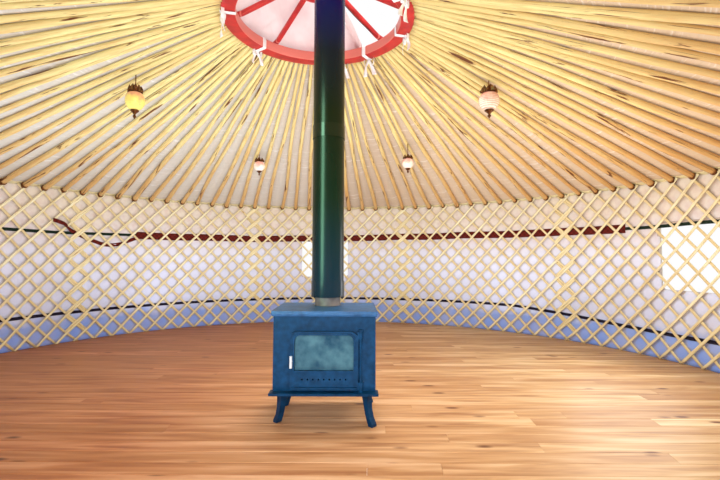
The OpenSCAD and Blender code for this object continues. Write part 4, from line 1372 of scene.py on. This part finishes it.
print("outline points of globe, crown and finial:", len(GLOBE), len(METAL_CROWN), len(FINIAL))

# %% [markdown]
# Each lantern hangs from its own pole by a thin hook, and the first one is blown a little
# slimmer. Copies of one lantern would hide that, so each is turned afresh. The glass is
# one piece and the metal another, because each has one finish.

# %% Lanterns
LANTERN_SIDES, GLOBE_RINGS, METAL_RINGS = 36, 40, 24
RIB_RISE = 0.085  # the rib climbs this share of the width in each turn


def finer(profile, rings):
    """Heights and radii at even steps along the list of an outline's points, as two columns."""
    s = np.linspace(0, len(profile) - 1, rings)
    return [np.interp(s, np.arange(len(profile)), column)[:, None] for column in np.array(profile).T]


def lathe(profile, place, rings, petals=0.0, rib=0.0):
    """Outline turned round the lantern's axis: petals lift the rim in six waves, rib winds up the globe."""
    k, r, drop, width, slim = place
    z, rad = finer(profile, rings)
    rad = np.maximum(rad, 0.004)
    angle = around(LANTERN_SIDES)
    rim = petals * np.clip((rad - 0.24) / 0.1, 0, 1) * np.cos(6 * angle)
    wound = rib * np.sin(2 * np.pi * z / RIB_RISE + angle) * np.minimum(1, rad / 0.3)
    rad = rad * (1 + rim) + wound
    middle = turn(r, POLE_AZ[k], pole_z(r) - HALF_POLE - drop)
    return middle + width * stacked(slim * rad * np.cos(angle), slim * rad * np.sin(angle), z - 0.7 * rim)


def spiral():
    """Turns of the rib, z / rise + angle / 2 pi, and height of a globe's points, to paint its stripes by."""
    z = finer(GLOBE, GLOBE_RINGS)[0]
    return stacked(z / RIB_RISE + np.arange(LANTERN_SIDES) / LANTERN_SIDES, z)


def hook(place):
    """Thin round hook from the underside of the pole into the crown of the lantern."""
    k, r, drop, width = place[:4]
    top = turn(r, POLE_AZ[k], pole_z(r) - HALF_POLE - 0.001)
    z = np.linspace(0, width * 0.84 - drop, METAL_RINGS)[:, None]
    angle = around(LANTERN_SIDES)
    return top + stacked(0.004 * np.cos(angle), 0.004 * np.sin(angle), z)


globes = np.array([lathe(GLOBE, place, GLOBE_RINGS, rib=0.011) for place in LANTERNS])
tones = np.broadcast_to(np.array(GLASS_TONES)[:, None, None], globes.shape[:3])
winding = np.broadcast_to(spiral(), (*globes.shape[:3], 2))
glass = add_tubes("lantern_globes", globes, winding, tones, flip=True)
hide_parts("lantern_glass")
metal = [lathe(METAL_CROWN, place, METAL_RINGS, petals=0.20) for place in LANTERNS]
metal += [hook(place) for place in LANTERNS] + [lathe(FINIAL, place, METAL_RINGS) for place in LANTERNS]
fittings = add_tubes("lantern_fittings", np.array(metal))
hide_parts("lantern_metal")
print("lanterns", len(LANTERNS), "glass points", globes.shape)

# %% [markdown]
# ## Finishes for the solids that stay
#
# The flue changes its tint with the height and carries a painted reflection of the sky near
# the crown, the hoop's inner face is painted lighter for the sky light on it, and each globe
# has glass of its own. Their colours are worked out from where a point lies, which needs no
# unwrapping, so the solids can stay as they are.

# %% Colours of the flue, the hoop and the globes
# The blue stop is a painted reflection of the sky, strongest at this share of the flue's top height.
FLUE_TOP, SKY_REFLECTION_AT = 4.2, 0.68


def flue_colour(tree):
    """Black-green enamel, teal at its foot, with a painted reflection of the sky as a blue band towards the
    crown.
    """
    up = node(tree, "Math", {0: metres(tree, "Z"), 1: FLUE_TOP}, operation="DIVIDE", use_clamp=True)
    return node(tree, "ValToRGB", {0: up}, stops=(
        (0.22, "#07242e"), (0.36, "#071f10"), (0.50, "#0a1a06"), (0.60, "#081420"),
        (SKY_REFLECTION_AT, "#0a1452"), (0.80, "#10141d"), (0.9, "#14171b")))


def hoop_colour(tree):
    """Red paint, with the inner face of the hoop painted salmon as painted light from the sky above it."""
    radius = from_axis(tree)
    inner = node(tree, "Math", {0: radius, 1: HOOP_IN + 0.004}, operation="LESS_THAN")
    shell = node(tree, "Math", {0: radius, 1: HOOP_IN - 0.01}, operation="GREATER_THAN")
    face = node(tree, "Math", {0: inner, 1: shell}, operation="MULTIPLY")
    # The salmon coat is painted light on the inner face.
    return painted(tree, mottled(110, "#a81219", "#cf2a27")(tree), ("#e27c6e", face))


def globe_colour(tree):
    """Glass of the globes: yellow, creamy with wound stripes, and two pale ones, all pinker on top."""
    tone = own_tone(tree)
    base = node(tree, "ValToRGB", {0: tone}, stops=((0.0, "#f7e270"), (0.5, "#eed4c0"), (1.0, "#fdf0e4")))
    upper = node(tree, "Math", {0: metres(tree, "Y", True), 1: 0.8, 2: patches(tree, 60, 3)},
                 operation="MULTIPLY_ADD")
    wound = node(tree, "Math", {0: metres(tree, "X", True), 1: 2 * math.pi}, operation="MULTIPLY")
    wave = node(tree, "Math", {0: wound}, operation="SINE")
    stripe = node(tree, "ValToRGB", {0: wave}, stops=((0.35, "#000000"), (0.90, "#ffffff")))
    striped = ((0.2, "#202020"), (0.55, "#e0e0e0"), (0.8, "#404040"))
    stripe = node(tree, "Math", {0: stripe, 1: node(tree, "ValToRGB", {0: tone}, stops=striped)},
                  operation="MULTIPLY")
    return painted(tree, base, ("#e07a70", upper, (0.44, "#000000"), (0.74, "#e0e0e0")), ("#b5683e", stripe))


print("the flue is bluest at", round(SKY_REFLECTION_AT * FLUE_TOP, 2), "m")

# %% [markdown]
# The stove, its flue and the door frame keep their CAD shape, as they are plain castings,
# pipes and timbers. What tells iron from enamel is the shine: the rougher a surface is,
# the wider and weaker its highlights. So each finish starts from what its surface is.

# %% Paint, iron, enamel, brass
grit, dents = relief(8, 3), relief(5, 2)
# Oil paint brushed on wood: a satin shine over slow waves of the brush.
RED = finish_with("crown_red_paint", hoop_colour, 0.38, relief(33, 3), 0.5)
# Cast iron under stove paint: sand-cast grit, drawn 8 mm wide so that it shows, and a weak shine.
IRON = finish_with("stove_cast_iron", mottled(38, "#032640", "#063657"), 0.42, grit, 0.35,
                   Specular_IOR_Level=0.16)
# The top plate is painted a paler blue than the body: painted light, for the light that falls on its upward
# face.
LIT_PLATE = finish_with("stove_plate_iron", mottled(45, "#133c60", "#235580"), 0.5, grit, 0.35)
# Fired enamel is smooth as glass, so long clear lights run down the pipe.
ENAMEL = finish_with("flue_vitreous_enamel", flue_colour, 0.26, Specular_IOR_Level=0.22)
JOINT = finish_with("flue_joint_enamel", flue_colour, 0.18, Specular_IOR_Level=0.35)
# Bare iron greyed by heat.
SPIGOT = finish_with("spigot_iron", mottled(70, "#514a45", "#7a7068"), 0.5)
# Polished steel of the lever, dulled by hands.
STEEL = finish_with("bright_steel", "#dfe5ea", 0.38, Metallic=0.55)
# Rubber boot of the weather collar: dark grey and even.
COLLAR = finish_with("weather_collar", "#4d5053", 0.55)
# Stove glass with a bloom of soot and ash inside.
GLASS = finish_with("stove_window", mottled(90, "#12374a", "#40646c"), 0.25, Specular_IOR_Level=0.3)
# Old brass: brown in its dents and bright where it is rubbed, with dents drawn 5 mm wide.
BRASS = finish_with("lantern_brass", mottled(17, "#48281a", "#94603a"), 0.4, dents, 0.4, Metallic=0.8)
# Blown glass that holds daylight, for which a weak warm glow stands.
AMBER = finish_with("amber_glass", globe_colour, 0.2,
                    Emission_Color=linear("#ffe9c0"), Emission_Strength=0.10)
# Clear soft sheet, so thin that it doesn't bend the view.
PANE = finish_with("clear_sheet", "#ffffff", 0.05, Transmission_Weight=1.0, IOR=1.0)

for pieces, material in (
        ((hoop, hub, spokes), RED), ((panes,), PANE), ((glass,), AMBER), ((fittings,), BRASS),
        (("stove_body", "stove_legs", "stove_door"), IRON), (("stove_top",), LIT_PLATE),
        (("flue_pipe", "flue_cowl"), ENAMEL), (("flue_collars",), JOINT), (("flue_spigot",), SPIGOT),
        (("stove_handle",), STEEL), (("flue_flashing",), COLLAR), (("stove_glass",), GLASS),
        (("bearers",), BEARER), (("door_posts", "door_lintel", "door_sill"), FRAME_WOOD)):
    for piece in pieces:
        dress(piece, material)
print("finishes in all:", len(bpy.data.materials))

# %% [markdown]
# ## Stage and light
#
# The background is plain white to the camera. More light on it would wash out the tent
# as well, so the white comes from the rays themselves: one that looks straight at the
# floor or the sky sees white, and all others see paper in a soft light.

# %% Ground and world
STUDIO = 90


def looked_at(tree, share=1.0):
    """Share of plain white that a ray sees: max(share * max(camera, glossy), transmission)."""
    rays = ("Is Camera Ray", "Is Glossy Ray", "Is Transmission Ray")
    straight, glossy, through = (node(tree, "LightPath", out=ray) for ray in rays)
    direct = node(tree, "Math", {0: straight, 1: glossy}, operation="MAXIMUM")
    direct = node(tree, "Math", {0: direct, 1: share}, operation="MULTIPLY")
    return node(tree, "Math", {0: direct, 1: through}, operation="MAXIMUM")


ground_mesh = bpy.data.meshes.new("studio_floor")
corners = [(-STUDIO, -STUDIO, 0), (STUDIO, -STUDIO, 0), (STUDIO, STUDIO, 0), (-STUDIO, STUDIO, 0)]
ground_mesh.from_pydata(corners, [], [(0, 1, 2, 3)])
ground = bpy.data.objects.new("studio_floor", ground_mesh)
bpy.context.collection.objects.link(ground)
# Matt paper backdrop; a share of its own shade stays, so that it keeps the tent's shadow.
paper = finish_with("studio_floor", "#eeedea", 0.8)
tree = paper.node_tree
glow = node(tree, "Emission", {"Color": "#ffffff", "Strength": 1.0})
shaded = tree.nodes["Principled BSDF"].outputs[0]
both = node(tree, "MixShader", {0: looked_at(tree, 0.7), 1: shaded, 2: glow})
tree.links.new(both, tree.nodes["Material Output"].inputs["Surface"])
dress(ground, paper)

world = bpy.data.worlds.new("studio")
bpy.context.scene.world = world
world.use_nodes = True
tree = world.node_tree
back = tree.nodes["Background"]
strength = node(tree, "Math", {0: looked_at(tree), 1: 0.35, 2: 0.65}, operation="MULTIPLY_ADD")
tree.links.new(strength, back.inputs["Strength"])
back.inputs["Color"].default_value = (1, 1, 1, 1)
print("studio floor", 2 * STUDIO, "m wide")

# %% [markdown]
# Broad soft lamps stand for the daylight of the crown, the windows and the doorway behind
# the camera, for what the wall sends up under the eaves, and for what the floor sends
# back to the roof. A real sky through such small openings would leave the picture full of
# specks.

# %% Lamps
def soft_lamp(name, place, aim, size, watts, colour="#ffffff", tall=None, spread=180, shiny=False,
              diffuse=True):
    """Area lamp at `place` that looks at `aim`, unseen by the camera and through the panes.

    Only a shiny one is seen in gloss, and one without diffuse is seen in nothing else.
    """
    data = bpy.data.lights.new(name, "AREA")
    data.shape, data.size, data.size_y, data.energy = "RECTANGLE", size, tall or size, watts
    data.color, data.spread = linear(colour)[:3], math.radians(spread)
    lamp = bpy.data.objects.new(name, data)
    lamp.location = place
    way = np.array(aim, float) - np.array(place, float)
    lean = math.acos(-way[2] / np.linalg.norm(way))
    lamp.rotation_euler = (lean, 0, math.atan2(way[1], way[0]) - math.pi / 2)
    lamp.visible_camera = lamp.visible_transmission = False
    lamp.visible_glossy, lamp.visible_diffuse = shiny, diffuse
    bpy.context.collection.objects.link(lamp)


soft_lamp("crown_daylight", (0.25, 0.15, 2.8), (0.3, 0.3, 0), 1.0, 34, "#f4faff")
soft_lamp("doorway_fill", (0.0, -3.0, 1.15), (0.0, 2, 1.15), 1.8, 58, "#e6f2ff", tall=1.5, spread=130)
soft_lamp("flue_gleam", (-0.62, -1.38, 1.75), (0.1, -0.43, 1.75), 0.42, 44, "#b4ffd2", tall=1.7,
          shiny=True, diffuse=False)
soft_lamp("window_right", (2.75, 0.7, 1.0), (0, -1.4, 0.1), 1.0, 10, shiny=True)
soft_lamp("window_left", (-2.3, 0.1, 0.95), (-1.5, 0.3, 2.3), 0.9, 14, "#cfeaff")
soft_lamp("eaves_right", (2.25, 0.1, 0.95), (2.0, 0.5, 2.3), 0.9, 9, "#fff0dc")
soft_lamp("floor_right", (1.7, -0.5, 1.9), (1.6, -0.6, 0), 1.3, 26)
soft_lamp("floor_bounce", (0.0, 0.2, 0.35), (0.0, 0.2, 3), 4.6, 100, "#e6f3ff")
soft_lamp("sky_over_crown", (0.45, 0.3, 4.9), (0.1, 0.05, 3.1), 0.8, 10, spread=46)
soft_lamp("studio_key", (9.0, -11.0, 10.0), (0, 0, 1.2), 7.0, 1500, "#fffaf2")

bpy.context.scene.view_settings.view_transform = "Standard"
print("lamps", len(bpy.data.lights))
